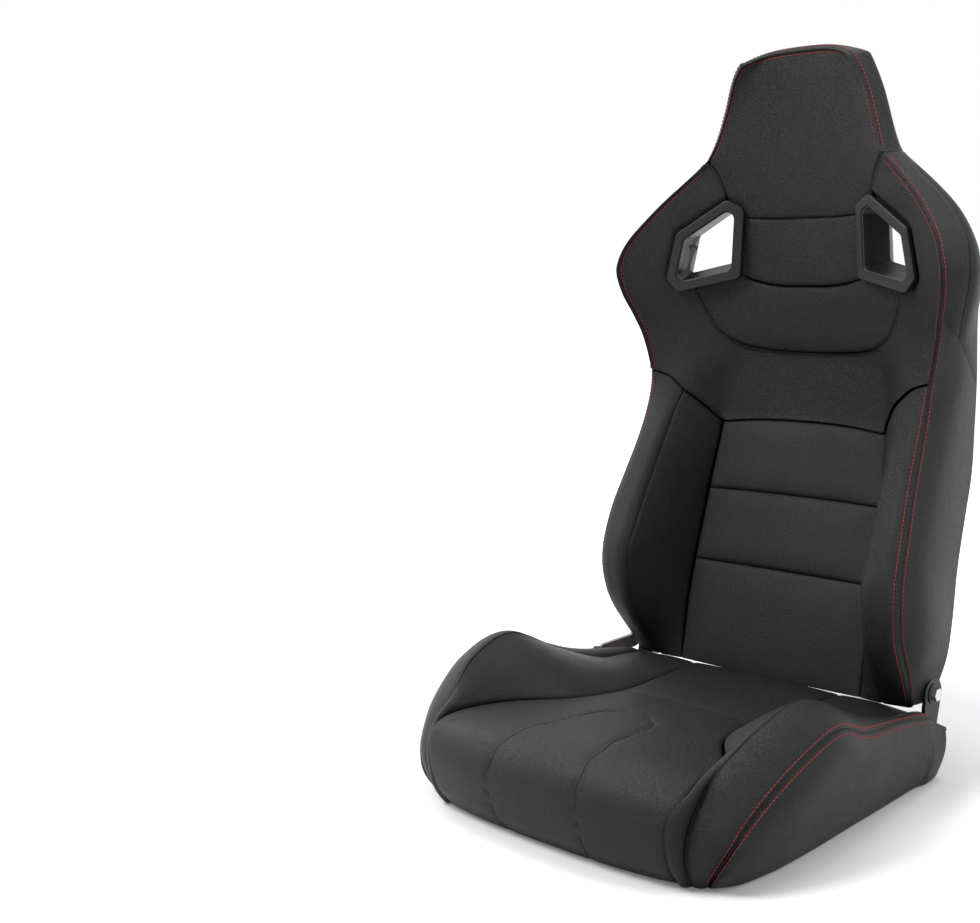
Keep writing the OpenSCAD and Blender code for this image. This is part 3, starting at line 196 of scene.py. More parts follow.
def at_length(where, length, values):
    """Values between the points of a line, at a length along it."""
    return np.array([np.interp(where, length, values[:, k]) for k in range(3)])


def front_y(x, z):
    """Depth of the backrest's front: straight between its lines below, and rounder towards the top."""
    shape = np.shape(x)
    a = np.abs(np.ravel(x)).astype(float)
    z = np.broadcast_to(z, shape).ravel().astype(float)
    c = curve(CENTRE_LINE, z)[:, 0]
    (ix, iy), (kx, ky), (sx, sy) = (curve(line, z).T for line in (INSERT_LINE, CREASE_LINE, CREST_LINE))
    low = np.where(a < ix, c + (iy - c) * (a / ix) ** 2,
                   np.where(a < kx, iy + (ky - iy) * (a - ix) / (kx - ix),
                            ky + (sy - ky) * (a - kx) / (sx - kx)))
    knots = np.stack([-ix, 0 * a, ix, kx, sx, sx + 12])
    high = hermite(knots, np.stack([iy, c, iy, ky, sy, sy - 1]), a)
    return (low + (high - low) * ramp(440, 500, z)).reshape(shape)


def back_y(x, z):
    edge_x, edge_y, spine = np.moveaxis(curve(REAR_LINE, z), -1, 0)
    return spine - (spine - edge_y) * np.minimum(1, np.abs(x) / edge_x) ** 3


def mid_y(x, z):
    return back_y(x, z) - COVER_T - (HOLLOW + (8 - HOLLOW) * ramp(850, 905, z))


def at_depth(depth, flat):
    """[x, z] points put on a surface whose depth is a function of both."""
    x, z = flat[..., 0], flat[..., 1]
    return np.stack([x, depth(x, z), z], -1)


def side_at(t, z):
    """Outside of the side cover, from the crest at 0 to the rear edge at 1."""
    t, z = np.broadcast_arrays(np.asarray(t, float), np.asarray(z, float))
    lines = [curve(line, z.ravel()) for line in (CREST_LINE, SIDE_LINE, REAR_LINE)]
    xy = between_rows([0.0, 0.45, 1.0], lines, t.ravel())
    return np.column_stack([xy, z.ravel()]).reshape(t.shape + (3,))


# ---------- meshes ----------

def to_scene(points):
    points = np.asarray(points, float).reshape(-1, 3) - [0, DEPTH_CENTRE, 0]
    return points * MM


SKINS = {}


def mesh_piece(name, vertices, faces, material, body, sharp=None):
    mesh = bpy.data.meshes.new(name)
    mesh.from_pydata(to_scene(vertices).tolist(), [], faces)
    bm = bmesh.new()
    bm.from_mesh(mesh)
    bmesh.ops.recalc_face_normals(bm, faces=bm.faces)
    if bm.calc_volume(signed=True) < 0:
        bmesh.ops.reverse_faces(bm, faces=bm.faces)
    bm.to_mesh(mesh)
    bm.free()
    mesh.shade_smooth()
    if sharp:
        mesh.set_sharp_from_angle(angle=math.radians(sharp))
    mesh.materials.append(material)
    piece = placed(name, mesh)
    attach(piece, body)
    SKINS[name] = piece
    return piece


def grid_normals(points):
    """Unit normals of a grid, from its rows and columns."""
    n = np.cross(np.gradient(points, axis=1), np.gradient(points, axis=0))
    return n / np.maximum(np.linalg.norm(n, axis=-1, keepdims=True), 1e-9)


def slab_faces(rows, cols, keep):
    """Faces of a closed solid between two grids, with the cells that are not kept left out."""
    faces = []
    around = np.pad(keep, 1)
    for i, j in zip(*np.nonzero(keep)):
        a = i * cols + j
        b, c, d = a + 1, a + cols + 1, a + cols
        e, f, g, h = (corner + rows * cols for corner in (a, b, c, d))
        rims = ((a, e, f, b), (d, c, g, h), (a, d, h, e), (b, f, g, c))
        joined = (around[i, j + 1], around[i + 2, j + 1], around[i + 1, j], around[i + 1, j + 2])
        faces += [(a, b, c, d), (e, h, g, f)] + [rim for rim, closed in zip(rims, joined) if not closed]
    return faces


def slab(name, front, rear, material, body, cad, keep=None):
    """A closed piece between two grids of points, in the place of a piece of the CAD."""
    rows, cols = front.shape[:2]
    if keep is None:
        keep = np.ones((rows - 1, cols - 1), bool)
    vertices = np.concatenate([front.reshape(-1, 3), rear.reshape(-1, 3)])
    faces = np.array(slab_faces(rows, cols, keep))
    used = np.unique(faces)
    renumber = np.full(len(vertices), -1)
    renumber[used] = np.arange(len(used))
    piece = mesh_piece(name, vertices[used], renumber[faces].tolist(), material, body)
    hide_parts(cad)


def spread(length, step=5.0):
    """Fractions from 0 to 1 for a patch this long: close together near both ends."""
    edge = 9.0
    near = np.array([0, 0.4, 1.0, 1.9, 3.0, 4.4, 6.2]) / edge * min(edge, length * 0.3)
    inner = np.linspace(near[-1], length - near[-1], max(3, int((length - 2 * near[-1]) / step)) + 1)
    return np.concatenate([near[:-1], inner, (length - near[:-1])[::-1]]) / length


def roll(distance, width, depth):
    """How far a panel has turned in, at a distance from its seam."""
    t = np.clip(distance / width, 0, 1)
    return depth * (1 - np.sqrt(np.maximum(0, 1 - (1 - t) ** 2)))


def edge_distances(points):
    """Distance of every point of a grid from its left, right, bottom and top edges."""
    distances = []
    for axis in (1, 0):
        steps = np.diff(points, axis=axis, prepend=np.take(points, [0], axis))
        length = np.cumsum(np.linalg.norm(steps, axis=-1), axis)
        distances += [length, np.take(length, [-1], axis) - length]
    return distances


def rolled(grid, *rolls):
    """The deepest roll at each point, from rolls for the left, right, bottom and top edges."""
    return np.maximum.reduce([roll(d, *r) for d, r in zip(edge_distances(grid), rolls) if r])


def hashed(p, seed):
    """Smooth, repeatable noise between -1 and 1 on rows of points, from summed waves."""
    rng = np.random.RandomState(seed)
    total = np.zeros(p.shape[:-1])
    for _ in range(7):
        direction = rng.normal(size=3)
        direction /= np.linalg.norm(direction)
        total += np.sin(p @ direction * rng.uniform(0.6, 1.6) + rng.uniform(0, 6.28))
    return total / 7


# ---------- harness openings ----------

ARC_STEPS = 8


def outline(grow):
    """The opening's outline with round corners, grown on all sides."""
    corners = np.array(WINDOW_CORNERS, float)
    points = []
    for i in range(len(corners)):
        a = corners[i] - corners[i - 1]
        b = corners[(i + 1) % len(corners)] - corners[i]
        u = np.array([a[1], -a[0]]) / np.linalg.norm(a)
        v = np.array([b[1], -b[0]]) / np.linalg.norm(b)
        centre = corners[i] + (grow - CORNER_R) * (u + v) / (1 + u @ v)
        for k in range(ARC_STEPS + 1):
            w = u + (v - u) * k / ARC_STEPS
            points.append(centre + CORNER_R * w / np.linalg.norm(w))
    return np.array(points)


def throat(grow):
    p = outline(grow)
    return np.column_stack([0.9 * p[:, 0], p[:, 1] + THROAT_RISE * ramp(0, -40, p[:, 1])])


def plane_axes(turn):
    t = math.radians(turn)
    return np.array([math.cos(t), -math.sin(t), 0]), np.array([math.sin(t), math.cos(t), 0])


def set_at(points, centre, turn, depth):
    right, inward = plane_axes(turn)
    return centre + points[:, :1] * right + depth * inward + points[:, 1:] * [0, 0, 1]


REAR_X = WINDOW[0] + 14
REAR_CENTRE = np.array([REAR_X, back_y(REAR_X, WINDOW[2]), WINDOW[2]])


def outline_distance(flat, a):
    """Signed distance from a closed outline: negative inside it."""
    b = np.roll(a, -1, axis=0)
    p = flat[:, None]
    t = np.clip(((p - a) * (b - a)).sum(-1) / ((b - a) ** 2).sum(-1), 0, 1)
    nearest = a + t[..., None] * (b - a)
    distance = np.linalg.norm(p - nearest, axis=-1).min(1)
    x, y = flat.T
    within = np.zeros(len(flat), bool)
    for (x1, y1), (x2, y2) in zip(a, b):
        within ^= ((y1 > y) != (y2 > y)) & (x < (x2 - x1) * (y - y1) / (y2 - y1 + 1e-12) + x1)
    return np.where(within, -distance, distance)


def round_window(points, centre, turn, tuck, reach):
    """Turns the leather in round an opening. Returns the new grid and each point's distance."""
    right, inward = plane_axes(turn)
    mirror = np.where(points[..., :1] < 0, [-1, 1, 1], 1)
    p = points * mirror
    q = (p - centre).reshape(-1, 3)
    flat = np.column_stack([q @ right, q[:, 2]])
    distance = outline_distance(flat, outline(0)).reshape(points.shape[:-1])
    depth = (q @ inward).reshape(points.shape[:-1])
    move = (tuck - depth) * (1 - ramp(-1, reach, distance)) ** 2
    return (p + move[..., None] * inward) * mirror, distance


def cells_outside(distance, limit):
    """The cells of a grid with any corner beyond a distance."""
    d = distance > limit
    return d[:-1, :-1] | d[1:, :-1] | d[:-1, 1:] | d[1:, 1:]


# ---------- materials ----------

def new_material(name):
    """A material with its node tree, its shader and the object's own coordinates."""
    material = bpy.data.materials.new(name)
    material.use_nodes = True
    tree = material.node_tree
    coords = tree.nodes.new("ShaderNodeTexCoord").outputs["Object"]
    return material, tree, tree.nodes["Principled BSDF"], coords


def wire(tree, made, **inputs):
    """Sets a node's inputs to values or to other nodes' outputs. An underscore stands for a space."""
    for key, value in inputs.items():
        socket = made.inputs[key.replace("_", " ")]
        if isinstance(value, bpy.types.NodeSocket):
            tree.links.new(value, socket)
        else:
            socket.default_value = value


def node(tree, kind, output, **inputs):
    """The output of a new shader node."""
    made = tree.nodes.new(kind)
    wire(tree, made, **inputs)
    return made.outputs[output]


def noise(tree, coords, scale, detail, output="Fac"):
    return node(tree, "ShaderNodeTexNoise", output, Vector=coords, Scale=scale, Detail=detail)


def mottled(tree, source, shades, stops):
    """A colour between two shades, following a noise."""
    tint = tree.nodes.new("ShaderNodeValToRGB")
    for element, shade, stop in zip(tint.color_ramp.elements, shades, stops):
        element.position = stop
        element.color = (*shade, 1)
    wire(tree, tint, Fac=source)
    return tint.outputs["Color"]


def stretched(tree, source, low, high):
    return node(tree, "ShaderNodeMapRange", "Result", Value=source, To_Min=low, To_Max=high)


def bump(tree, strength, distance, **inputs):
    return node(tree, "ShaderNodeBump", "Normal", Strength=strength, Distance=distance, **inputs)


def leather(name, dark, light, roughness, grain=0.75):
    material, tree, shader, coords = new_material(name)
    # Pebbles with fine creases between them, over a slower unevenness
    bent = node(tree, "ShaderNodeMixRGB", "Color", Fac=0.004, Color1=coords,
                Color2=noise(tree, coords, 260.0, 2.0, "Color"))
    pebbles = tree.nodes.new("ShaderNodeTexVoronoi")
    pebbles.feature = "DISTANCE_TO_EDGE"
    wire(tree, pebbles, Scale=560.0, Vector=bent)
    crease = node(tree, "ShaderNodeMapRange", "Result", From_Max=0.25, Value=pebbles.outputs["Distance"])
    fine = bump(tree, grain, 0.0005, Height=crease)
    wire(tree, shader, Specular_IOR_Level=0.18,
         Base_Color=mottled(tree, noise(tree, coords, 14.0, 4.0), (dark, light), (0.3, 0.72)),
         Roughness=stretched(tree, noise(tree, coords, 90.0, 3.0), roughness - 0.05, roughness + 0.07),
         Normal=bump(tree, 0.25, 0.0012, Height=noise(tree, coords, 38.0, 5.0), Normal=fine))
    return material


def plain(name, colour, roughness, metallic=0.0, scale=400.0, strength=0.08, depth=0.0002, specular=0.5):
    """Moulded plastic, paint or metal: a little variation in gloss and a fine texture."""
    material, tree, shader, coords = new_material(name)
    shades = [0.88 * c for c in colour], [min(1, 1.1 * c) for c in colour]
    wire(tree, shader, Metallic=metallic, Specular_IOR_Level=specular,
         Base_Color=mottled(tree, noise(tree, coords, 30.0, 3.0), shades, (0.35, 0.7)),
         Roughness=stretched(tree, noise(tree, coords, 60.0, 4.0), roughness - 0.05, roughness + 0.08),
         Normal=bump(tree, strength, depth, Height=noise(tree, coords, scale, 2.0)))
    return material


LEATHER = leather("leather", (0.011, 0.0112, 0.012), (0.015, 0.0152, 0.0162), 0.4)
LEATHER_INSERT = leather("leather_insert", (0.015, 0.0152, 0.0162), (0.02, 0.0202, 0.0215), 0.52, grain=0.5)
PLASTIC = plain("satin_plastic", (0.012, 0.012, 0.013), 0.4, scale=1400.0, strength=0.15, depth=0.0001,
                specular=0.25)
BLACK_STEEL = plain("black_paint", (0.012, 0.012, 0.013), 0.36, specular=0.3)
GREY_STEEL = plain("grey_paint", (0.22, 0.22, 0.23), 0.42)
BRIGHT_STEEL = plain("bright_steel", (0.62, 0.62, 0.64), 0.28, metallic=1.0)
LINING = plain("lining", (0.02, 0.02, 0.021), 0.9, scale=1800.0, strength=0.5, depth=0.0003)
THREAD = plain("red_thread", (0.3, 0.012, 0.016), 0.7, scale=3000.0, strength=0.4, depth=0.0002)
# Near-black, darker than the leather: painted shade in the seams, on the folds and lines laid along them
SEAM_SHADE = plain("seam_fold_painted_shade", (0.006, 0.006, 0.0065), 0.6, specular=0.2)

# ---------- backrest panels ----------

def patch(bottom, top, left, right, us, vs):
    """[x, z] over the patch inside four edges."""
    b, t = along(bottom, us), along(top, us)
    l, r = along(left, vs), along(right, vs)
    u, v = us[None, :, None], vs[:, None, None]
    low_left, low_right, high_left, high_right = np.array([bottom[0], bottom[-1], top[0], top[-1]], float)
    corners = ((1 - u) * (1 - v) * low_left + u * (1 - v) * low_right
               + (1 - u) * v * high_left + u * v * high_right)
    return b[None] * (1 - v) + t[None] * v + l[:, None] * (1 - u) + r[:, None] * u - corners


def inside(fractions, length):
    """The same fractions, kept clear of both ends by the seam's gap."""
    share = SEAM / length
    return share + (1 - 2 * share) * fractions


def leather_front(flat, swell, rolls, shares=(1, 1, 1, 1)):
    """The outside of a sewn panel over the backrest's front surface."""
    base = at_depth(front_y, flat)
    normal = grid_normals(base)
    distances = edge_distances(base)
    # A fifth roll is a second one along the right edge
    drop = np.maximum.reduce([share * roll(distance, *size) for distance, size, share
                              in zip(distances + distances[1:2], rolls, shares)])
    left, right, bottom, top = distances
    u = 2 * left / (left + right) - 1
    v = 2 * bottom / (bottom + top) - 1
    puff = swell * (1 - u ** 4) * (1 - v ** 4)
    return base + normal * (puff + 0.3 * hashed(base * 0.09, 1) - drop)[..., None]


# Width and depth of the rolls along the edges of the pads and the covers
SOFT = (5.5, 2.8)
CREST = (5.0, 3.0)
FLAT = (5.0, 2.5)
PLEAT = (6.0, 3.5)
LOOSE = (1.0, 0.0)
BUTTED = (3, 1)
REAR = (9, 5)
END = (8, 4)
INWARD = (7, 4)


def pad(name, bottom, top, left, right, swell, rolls, material=LEATHER, tuck=(0, 0, 0), windows=False,
        width=None):
    """A sewn pad between four edges of the backrest's front. Its rear is tucked in behind the covers."""
    width = width or run_length(bottom)[-1]
    height = run_length(right)[-1]
    us, vs = inside(spread(width), width), inside(spread(height), height)
    flat = patch(bottom, top, left, right, us, vs)
    front = leather_front(flat, swell, rolls)
    u = 2 * us[None] - 1
    v = np.maximum(0, 2 * vs[:, None] - 1)
    rear_x = flat[..., 0] + np.where(u > 0, -tuck[1], tuck[0]) * np.abs(u) ** 3
    rear = at_depth(mid_y, np.stack([rear_x, flat[..., 1] - tuck[2] * v ** 3], -1))
    keep = None
    if windows:
        front, distance = round_window(front, WINDOW, TUNNEL_TURN, RING_TUCK, RING_REACH)
        keep = cells_outside(distance, -RING_TUCK)
    slab(name, front, rear, material, "backrest", name, keep)


def flip(points):
    return [[-x, z] for x, z in points]


def whole(half):
    """A symmetric line from left to right, from its half that starts in the middle."""
    return flip(half[:0:-1]) + half


def x_on(line, z):
    return curve(line, z)[0]


def up(line, foot, top, count):
    """[x, z] points up one of the backrest's lines."""
    return [[x_on(line, z), z] for z in np.linspace(foot, top, count)]


PLEAT_1 = INSERT_TOP - PLEAT_H
PLEAT_2 = PLEAT_1 - PLEAT_H
INSERT_CORNER = [x_on(INSERT_LINE, INSERT_EDGE), INSERT_EDGE]
WAIST_END = [x_on(CREST_LINE, WAIST_TOP), WAIST_TOP]
WAIST = path([INSERT_CORNER, [150, 457], [168, 475], [190, 493], WAIST_END], 40).tolist()
WAIST_INNER, WAIST_OUTER = WAIST[:21], WAIST[20:]
YOKE_LOW = whole([[0, 526], [50, 527], [94, 532], [116, 541], [136, 557]])
NECK_LOW = whole([[0, 617], [45, 618], [84, 626], [100, 635]])
NECK_HIGH = whole([[0, 706], [45, 706], [100, 709]])
HEAD_CREST = [[x - 1, z] for x, z in up(CREST_LINE, 790, HEAD_CORNER, 25)]
HEAD_FOOT = [[105, 709], [110, 735], [117.5, 758], [125.5, 774], [132, 783]]
HEAD_TOP = whole([[0, 921], [40, 920], [66, 916], [HEAD_CREST[-1][0], HEAD_CORNER]])
TUCK = COVER_T + 2

head_side = HEAD_FOOT + HEAD_CREST
pad("headrest_pad", NECK_HIGH, HEAD_TOP, flip(head_side), head_side, 4, (CREST, CREST, SOFT, CREST),
    tuck=(TUCK, TUCK, TUCK + 2), windows=True)
neck_side = [[100, 634], [101, 670], [100, 709]]
pad("neck_pad", NECK_LOW, NECK_HIGH, flip(neck_side), neck_side, 3, (LOOSE, LOOSE, SOFT, SOFT), windows=True)
YOKE_MIDDLE = 640.0
YOKE_SIDE = [[136, 557], [150, 585], [161, 612]]
YOKE_HIGH = whole([[0, 615], [45, 616], [84, 624], [100, 634], [126, 624], [161, 612]])
pad("yoke_pad", YOKE_LOW, YOKE_HIGH, flip(YOKE_SIDE), YOKE_SIDE, 4, (SOFT, SOFT, SOFT, SOFT), windows=True)


def across_at(edge_z, mid_z):
    between = mid_z - (mid_z - edge_z) / 6
    return whole([[0, mid_z], [64, between], [x_on(INSERT_LINE, edge_z), edge_z]])


def insert_pad(name, low, high, low_edge, high_edge, foot=PLEAT):
    right = up(INSERT_LINE, low_edge, high_edge, 12)
    pad(name, across_at(low_edge, low), across_at(high_edge, high), flip(right), right, 5,
        (SOFT, SOFT, foot, PLEAT), LEATHER_INSERT)


insert_pad("insert_pad_upper", PLEAT_1, INSERT_TOP, PLEAT_1 - 2, INSERT_EDGE)
insert_pad("insert_pad_middle", PLEAT_2, PLEAT_1, PLEAT_2 - 1, PLEAT_1 - 2)
insert_pad("insert_pad_lower", INSERT_FOOT, PLEAT_2, INSERT_FOOT, PLEAT_2 - 1, LOOSE)


def pad_pair(name, top, near, far, swell, near_roll, far_roll, tuck, width):
    """A pad on the left of the middle and, with its edges changed over, the same one on the right."""
    foot = [near[0], far[0]]
    pad(name + "_left", foot, top, near, far, swell, (near_roll, far_roll, LOOSE, SOFT),
        tuck=(0, tuck, 0), width=width)
    pad(name + "_right", flip(foot)[::-1], flip(top)[::-1], flip(far), flip(near), swell,
        (far_roll, near_roll, LOOSE, SOFT), tuck=(tuck, 0, 0), width=width)


crease_seam = up(CREASE_LINE, INSERT_FOOT, 455, 50) + [WAIST_INNER[-1]]
insert_seam = up(INSERT_LINE, INSERT_FOOT, INSERT_CORNER[1], 50)
crest_seam = up(CREST_LINE, INSERT_FOOT, WAIST_TOP, 60)
pad_pair("inner_bolster", WAIST_INNER, insert_seam, crease_seam, 1.5, SOFT, FLAT, 0, 90)
pad_pair("back_bolster", WAIST_OUTER, crease_seam, crest_seam, 9, FLAT, CREST, TUCK, 60)


def upper_back():
    """The horseshoe from one shoulder round below the yoke to the other."""
    shoulder = up(CREST_LINE, NECK_Z, WAIST_TOP, 60)
    beside = [[134, NECK_Z], [127, 774], [119, 758], [114, 735], [128, 705], [146, 675], [160, 645],
              YOKE_SIDE[-1]]
    steps_up, steps_yoke, steps_low = 52, 18, 40
    low_half = np.linspace(1, 0.5, steps_low + 1)
    inner_half = np.concatenate([path(beside, steps_up), path(YOKE_SIDE[::-1], steps_yoke)[1:],
                                 along(YOKE_LOW, low_half)[1:]])
    insert_half = along(across_at(INSERT_EDGE, INSERT_TOP), np.linspace(1, 0.5, 25))
    low = path(np.concatenate([WAIST[::-1], insert_half[1:]]), steps_low)
    outer_half = np.concatenate([path(shoulder, steps_up + steps_yoke), low[1:]])
    inner, outer = mirrored(inner_half), mirrored(outer_half)
    width = 95.0
    t = inside(spread(width, step=4.0), width)[None, :, None]
    flat = inner[:, None] * (1 - t) + outer[:, None] * t
    flat[[0, -1], :, 1] -= SEAM
    # The seam against the yoke turns in as the others do; beside the opening the ring covers it
    by_yoke = 1 - ramp(590, 612, flat[..., 1]) + ramp(735, 760, flat[..., 1])
    # Along the waist and the insert the outer edge is a soft seam, not the crest
    by_waist = 1 - ramp(500, 520, flat[..., 1])
    shares = (by_yoke, by_waist, 1, 1, 1 - by_waist)
    front = leather_front(flat, 2.5, (SOFT, SOFT, LOOSE, LOOSE, CREST), shares)
    rear = at_depth(mid_y, flat + TUCK * t ** 3 * unit([0, YOKE_MIDDLE] - flat))
    front, distance = round_window(front, WINDOW, TUNNEL_TURN, RING_TUCK, RING_REACH)
    slab("upper_back_pad", front, rear, LEATHER, "backrest", "upper_back_pad",
         cells_outside(distance, -RING_TUCK))


upper_back()


# ---------- sides, head band and back ----------

SIDES = ((1, "left"), (-1, "right"))


def sided(points, side):
    return points * [side, 1, 1]


def cover(name, outer, inner, keep=None):
    slab(name, outer, inner, LEATHER, "backrest", name, keep)


# Two seams on the outside of the side cover, through [t, z] points
SHOULDER_SEAMS = [
    side_at(*path([[0.05, 586], [0.17, 572], [0.39, 554], [0.64, 526], [0.9, 498]], 90).T),
    side_at(*path([[0.38, 760], [0.37, 683], [0.36, 659], [0.35, 628], [0.34, 596], [0.38, 557]], 120).T)]


def grooves(points, lines, width):
    """Grooves of depth 1 along finely divided lines, at every point of a grid."""
    flat = points.reshape(-1, 3)
    depth = 0
    for line in lines:
        nearest = np.full(len(flat), 1e9)
        for start in range(0, len(line), 40):
            part = np.linalg.norm(flat[:, None] - line[None, start:start + 40], axis=-1).min(1)
            nearest = np.minimum(nearest, part)
        depth = depth + np.exp(-(nearest / width) ** 2)
    return depth.reshape(points.shape[:-1])


def side_panel(side, word):
    height = NECK_Z - COVER_FOOT
    zs = COVER_FOOT + height * spread(height, step=6.0)
    ts = spread(110.0, step=5.0)
    base = side_at(ts[None, :], zs[:, None])
    normal = grid_normals(base)
    drop = rolled(base, CREST, (8, 5), END, BUTTED)
    puff = 2.0 * np.sin(np.pi * ts)[None] + 0.25 * hashed(base * 0.08, 21)
    outer = base + normal * (puff - drop - 1.5 * grooves(base, SHOULDER_SEAMS, 4))[..., None]
    cover("back_side_" + word, sided(outer, side), sided(base - normal * COVER_T, side))
    return outer, normal


side_outer, side_normal = side_panel(1, "left")
side_panel(-1, "right")


def head_band():
    height = HEAD_CORNER - NECK_Z
    rows_up = NECK_Z + height * spread(height, step=5.0)
    ts = spread(60.0, step=5.0) * 0.97
    half = side_at(ts[None, :], rows_up[:, None])
    tops = path([[66, 920], [36, 924], [0, 925]], 10)
    front_edge = at_depth(front_y, tops) - [0, 1, 0]
    rear_edge = np.stack([tops[:, 0] * 1.04, 0 * tops[:, 0] + 296, tops[:, 1] - 4], -1)
    t = ts[None, :, None]
    over = front_edge[:, None] * (1 - t) + rear_edge[:, None] * t
    over[..., 2] += 3 * (1 - (2 * ts[None] - 1) ** 2) - 1.4
    base = mirrored(np.concatenate([half, over]))
    # Even out the turn from the sides to the top
    for _ in range(6):
        base[1:-1] = base[1:-1] * 0.5 + (base[:-2] + base[2:]) * 0.25
    outward = unit((base - [0, 0, HEAD_MIDDLE]) * [1, 0, 1])
    drop = rolled(base, CREST, INWARD, BUTTED, BUTTED)
    outer = base + outward * (1.5 * np.sin(np.pi * ts)[None] - drop)[..., None]
    cover("head_band", outer, base - outward * COVER_T)
    return outer, outward


band_outer, band_out = head_band()


def back_cover():
    foot, height = 98, 814
    zs = foot + height * spread(height, step=6.0)
    us = 2 * spread(450.0, step=6.0) - 1
    z = zs[:, None] + 0 * us[None]
    x = us[None] * (curve(REAR_LINE, z)[..., 0] - 1.5)
    base = np.stack([x, back_y(x, z), z + 5 * (1 - us[None] ** 2) * ramp(850, 912, z)], -1)
    normal = -grid_normals(base)
    drop = rolled(base, REAR, REAR, (10, 6), (8, 5))
    outer = base + normal * (0.4 * hashed(base * 0.05, 31) - drop)[..., None]
    inner = (base - [0, COVER_T, 0]) * [0.985, 1, 1]
    outer, distance = round_window(outer, REAR_CENTRE, REAR_TURN, -RING_TUCK, 8.0)
    cover("back_cover", outer, inner, cells_outside(distance, -3.5))


back_cover()


# ---------- rings round the harness openings ----------

def sleeve(name, rings, side):
    """A closed ring of plastic whose section is one point on each outline."""
    n, m = len(rings), len(rings[0])
    faces = []
    for i in range(n):
        for k in range(m):
            after, ahead = (i + 1) % n * m, (k + 1) % m
            faces.append((i * m + k, i * m + ahead, after + ahead, after + k))
    vertices = np.concatenate([sided(r, side) for r in rings])
    piece = mesh_piece(name, vertices, faces, PLASTIC, "backrest", sharp=50)
    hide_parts(name)


def rounded(start, end):
    """Outlines round a quarter turn, from one [grow, depth] to another through their corner."""
    rings = []
    for t in (0, 0.25, 0.5, 0.75, 1):
        a, b = math.sin(t * math.pi / 2), 1 - math.cos(t * math.pi / 2)
        grow = start[0] + (end[0] - start[0]) * b
        rings.append(in_front(outline(grow), start[1] + (end[1] - start[1]) * a))
    return rings


def in_front(points, depth):
    return set_at(points, WINDOW, TUNNEL_TURN, depth)


def behind(points, depth):
    return set_at(points, REAR_CENTRE, REAR_TURN, depth)


EDGE = 2.2
for side, word in SIDES:
    inner_wall, outer_wall = -BEZEL_RIM, TUNNEL_WALL - BEZEL_RIM
    rings = [in_front(outline(0), 0)]
    rings += rounded((0, EDGE - BEZEL_LIP), (-EDGE, -BEZEL_LIP))
    rings += rounded((inner_wall + EDGE, -BEZEL_LIP), (inner_wall, EDGE - BEZEL_LIP))
    rings += [in_front(outline(inner_wall), 8), in_front(throat(inner_wall), THROAT_DEPTH),
              in_front(throat(outer_wall), THROAT_DEPTH), in_front(outline(outer_wall), 0)]
    sleeve("harness_bezel_" + word, rings, side)
    start = THROAT_DEPTH + 0.3
    rings = [in_front(throat(outer_wall), start), in_front(throat(inner_wall), start)]
    rings += [behind(outline(grow), depth) for grow, depth in (
        (-REAR_RIM, 1.5), (1.5 - REAR_RIM, 3), (-1.5, 3), (0, 1.5), (0, -8), (TUNNEL_WALL - REAR_RIM, -8))]
    sleeve("rear_bezel_" + word, rings, side)

# ---------- the seat ----------

ROW_STATIONS = (0, 0.5, 1, 1.5, 2, 3, 4, 5, 6, 7, 8, 9, 10)


def seat_row(*points):
    """A line along the seat, from its rear at station 0 to the floor at its nose at station 10."""
    return [[station] + point for station, point in zip(ROW_STATIONS, points)]


MID_ROW = seat_row([0, 236, 62], [0, 214, 72], [0, 201, 84], [0, 188, 101], [0, 110, 102], [0, 20, 105],
                   [0, -65, 110], [0, -135, 114], [0, -200, 117], [0, -243, 106], [0, -262, 76],
                   [0, -252, 30], [0, -228, 0])
SEAM_ROW = seat_row([120, 236, 62], [119, 214, 72], [118, 201, 84], [116, 188, 100], [109, 110, 101],
                    [102, 18, 104], [122, -62, 109], [170, -132, 112], [190, -203, 112], [192, -238, 100],
                    [184, -252, 73], [180, -244, 30], [177, -222, 0])
CREST_ROW = seat_row([216, 236, 63], [216, 215, 72], [217, 202, 84], [217, 188, 97], [218, 110, 106],
                     [223, 20, 142], [227, -60, 178], [222, -135, 163], [207, -186, 128], [201, -212, 98],
                     [198, -230, 66], [196, -231, 30], [194, -216, 0])
STITCH_ROW = seat_row([240, 242, 68], [240, 222, 78], [241, 204, 88], [243, 186, 96], [250, 110, 111],
                      [262, 20, 126], [271, -50, 150], [269, -115, 135], [262, -165, 108],
                      [251, -196, 78], [242, -208, 56], [224, -211, 27], [206, -204, 0])
SIDE_ROW = seat_row([240, 246, 50], [242, 226, 56], [245, 206, 62], [248, 184, 67], [257, 110, 80],
                    [270, 20, 95], [278, -50, 115], [277, -118, 98], [267, -170, 80], [254, -199, 60],
                    [242, -212, 42], [224, -213, 19], [207, -205, 0])
LOW_ROW = seat_row([235, 249, 28], [239, 228, 30], [242, 206, 30], [242, 184, 31], [248, 110, 38],
                   [256, 20, 42], [261, -50, 45], [261, -122, 42], [254, -175, 36], [244, -202, 30],
                   [235, -212, 22], [220, -211, 9], [208, -206, 0])
FLOOR_ROW = seat_row(*([x, y, 0] for x, y in (
    (226, 244), (230, 226), (231, 206), (228, 184), (231, 110), (234, 20), (237, -55), (237, -122),
    (232, -170), (226, -188), (220, -197), (214, -202), (209, -206))))
# Over the pan, and down the inside of the nose
INSIDE = seat_row(*([0, y, PAN_Z] for y in (236, 222, 205, 186, 110, 20, -60, -125, -172)),
                  [0, -196, PAN_Z - 1], [0, -203, 36], [0, -205, 16], [0, -206, 0])
STATIONS = 10 * spread(760.0, step=5.0)


def seat_piece(name, outer, inner, cad):
    above_floor = [-1e9, -1e9, 0.1]
    slab(name, np.maximum(outer, above_floor), np.maximum(inner, above_floor), LEATHER, "base", cad)


def outwards(normal, points, centre):
    inward = ((points - centre) * normal).sum(-1, keepdims=True) < 0
    return np.where(inward, -normal, normal)


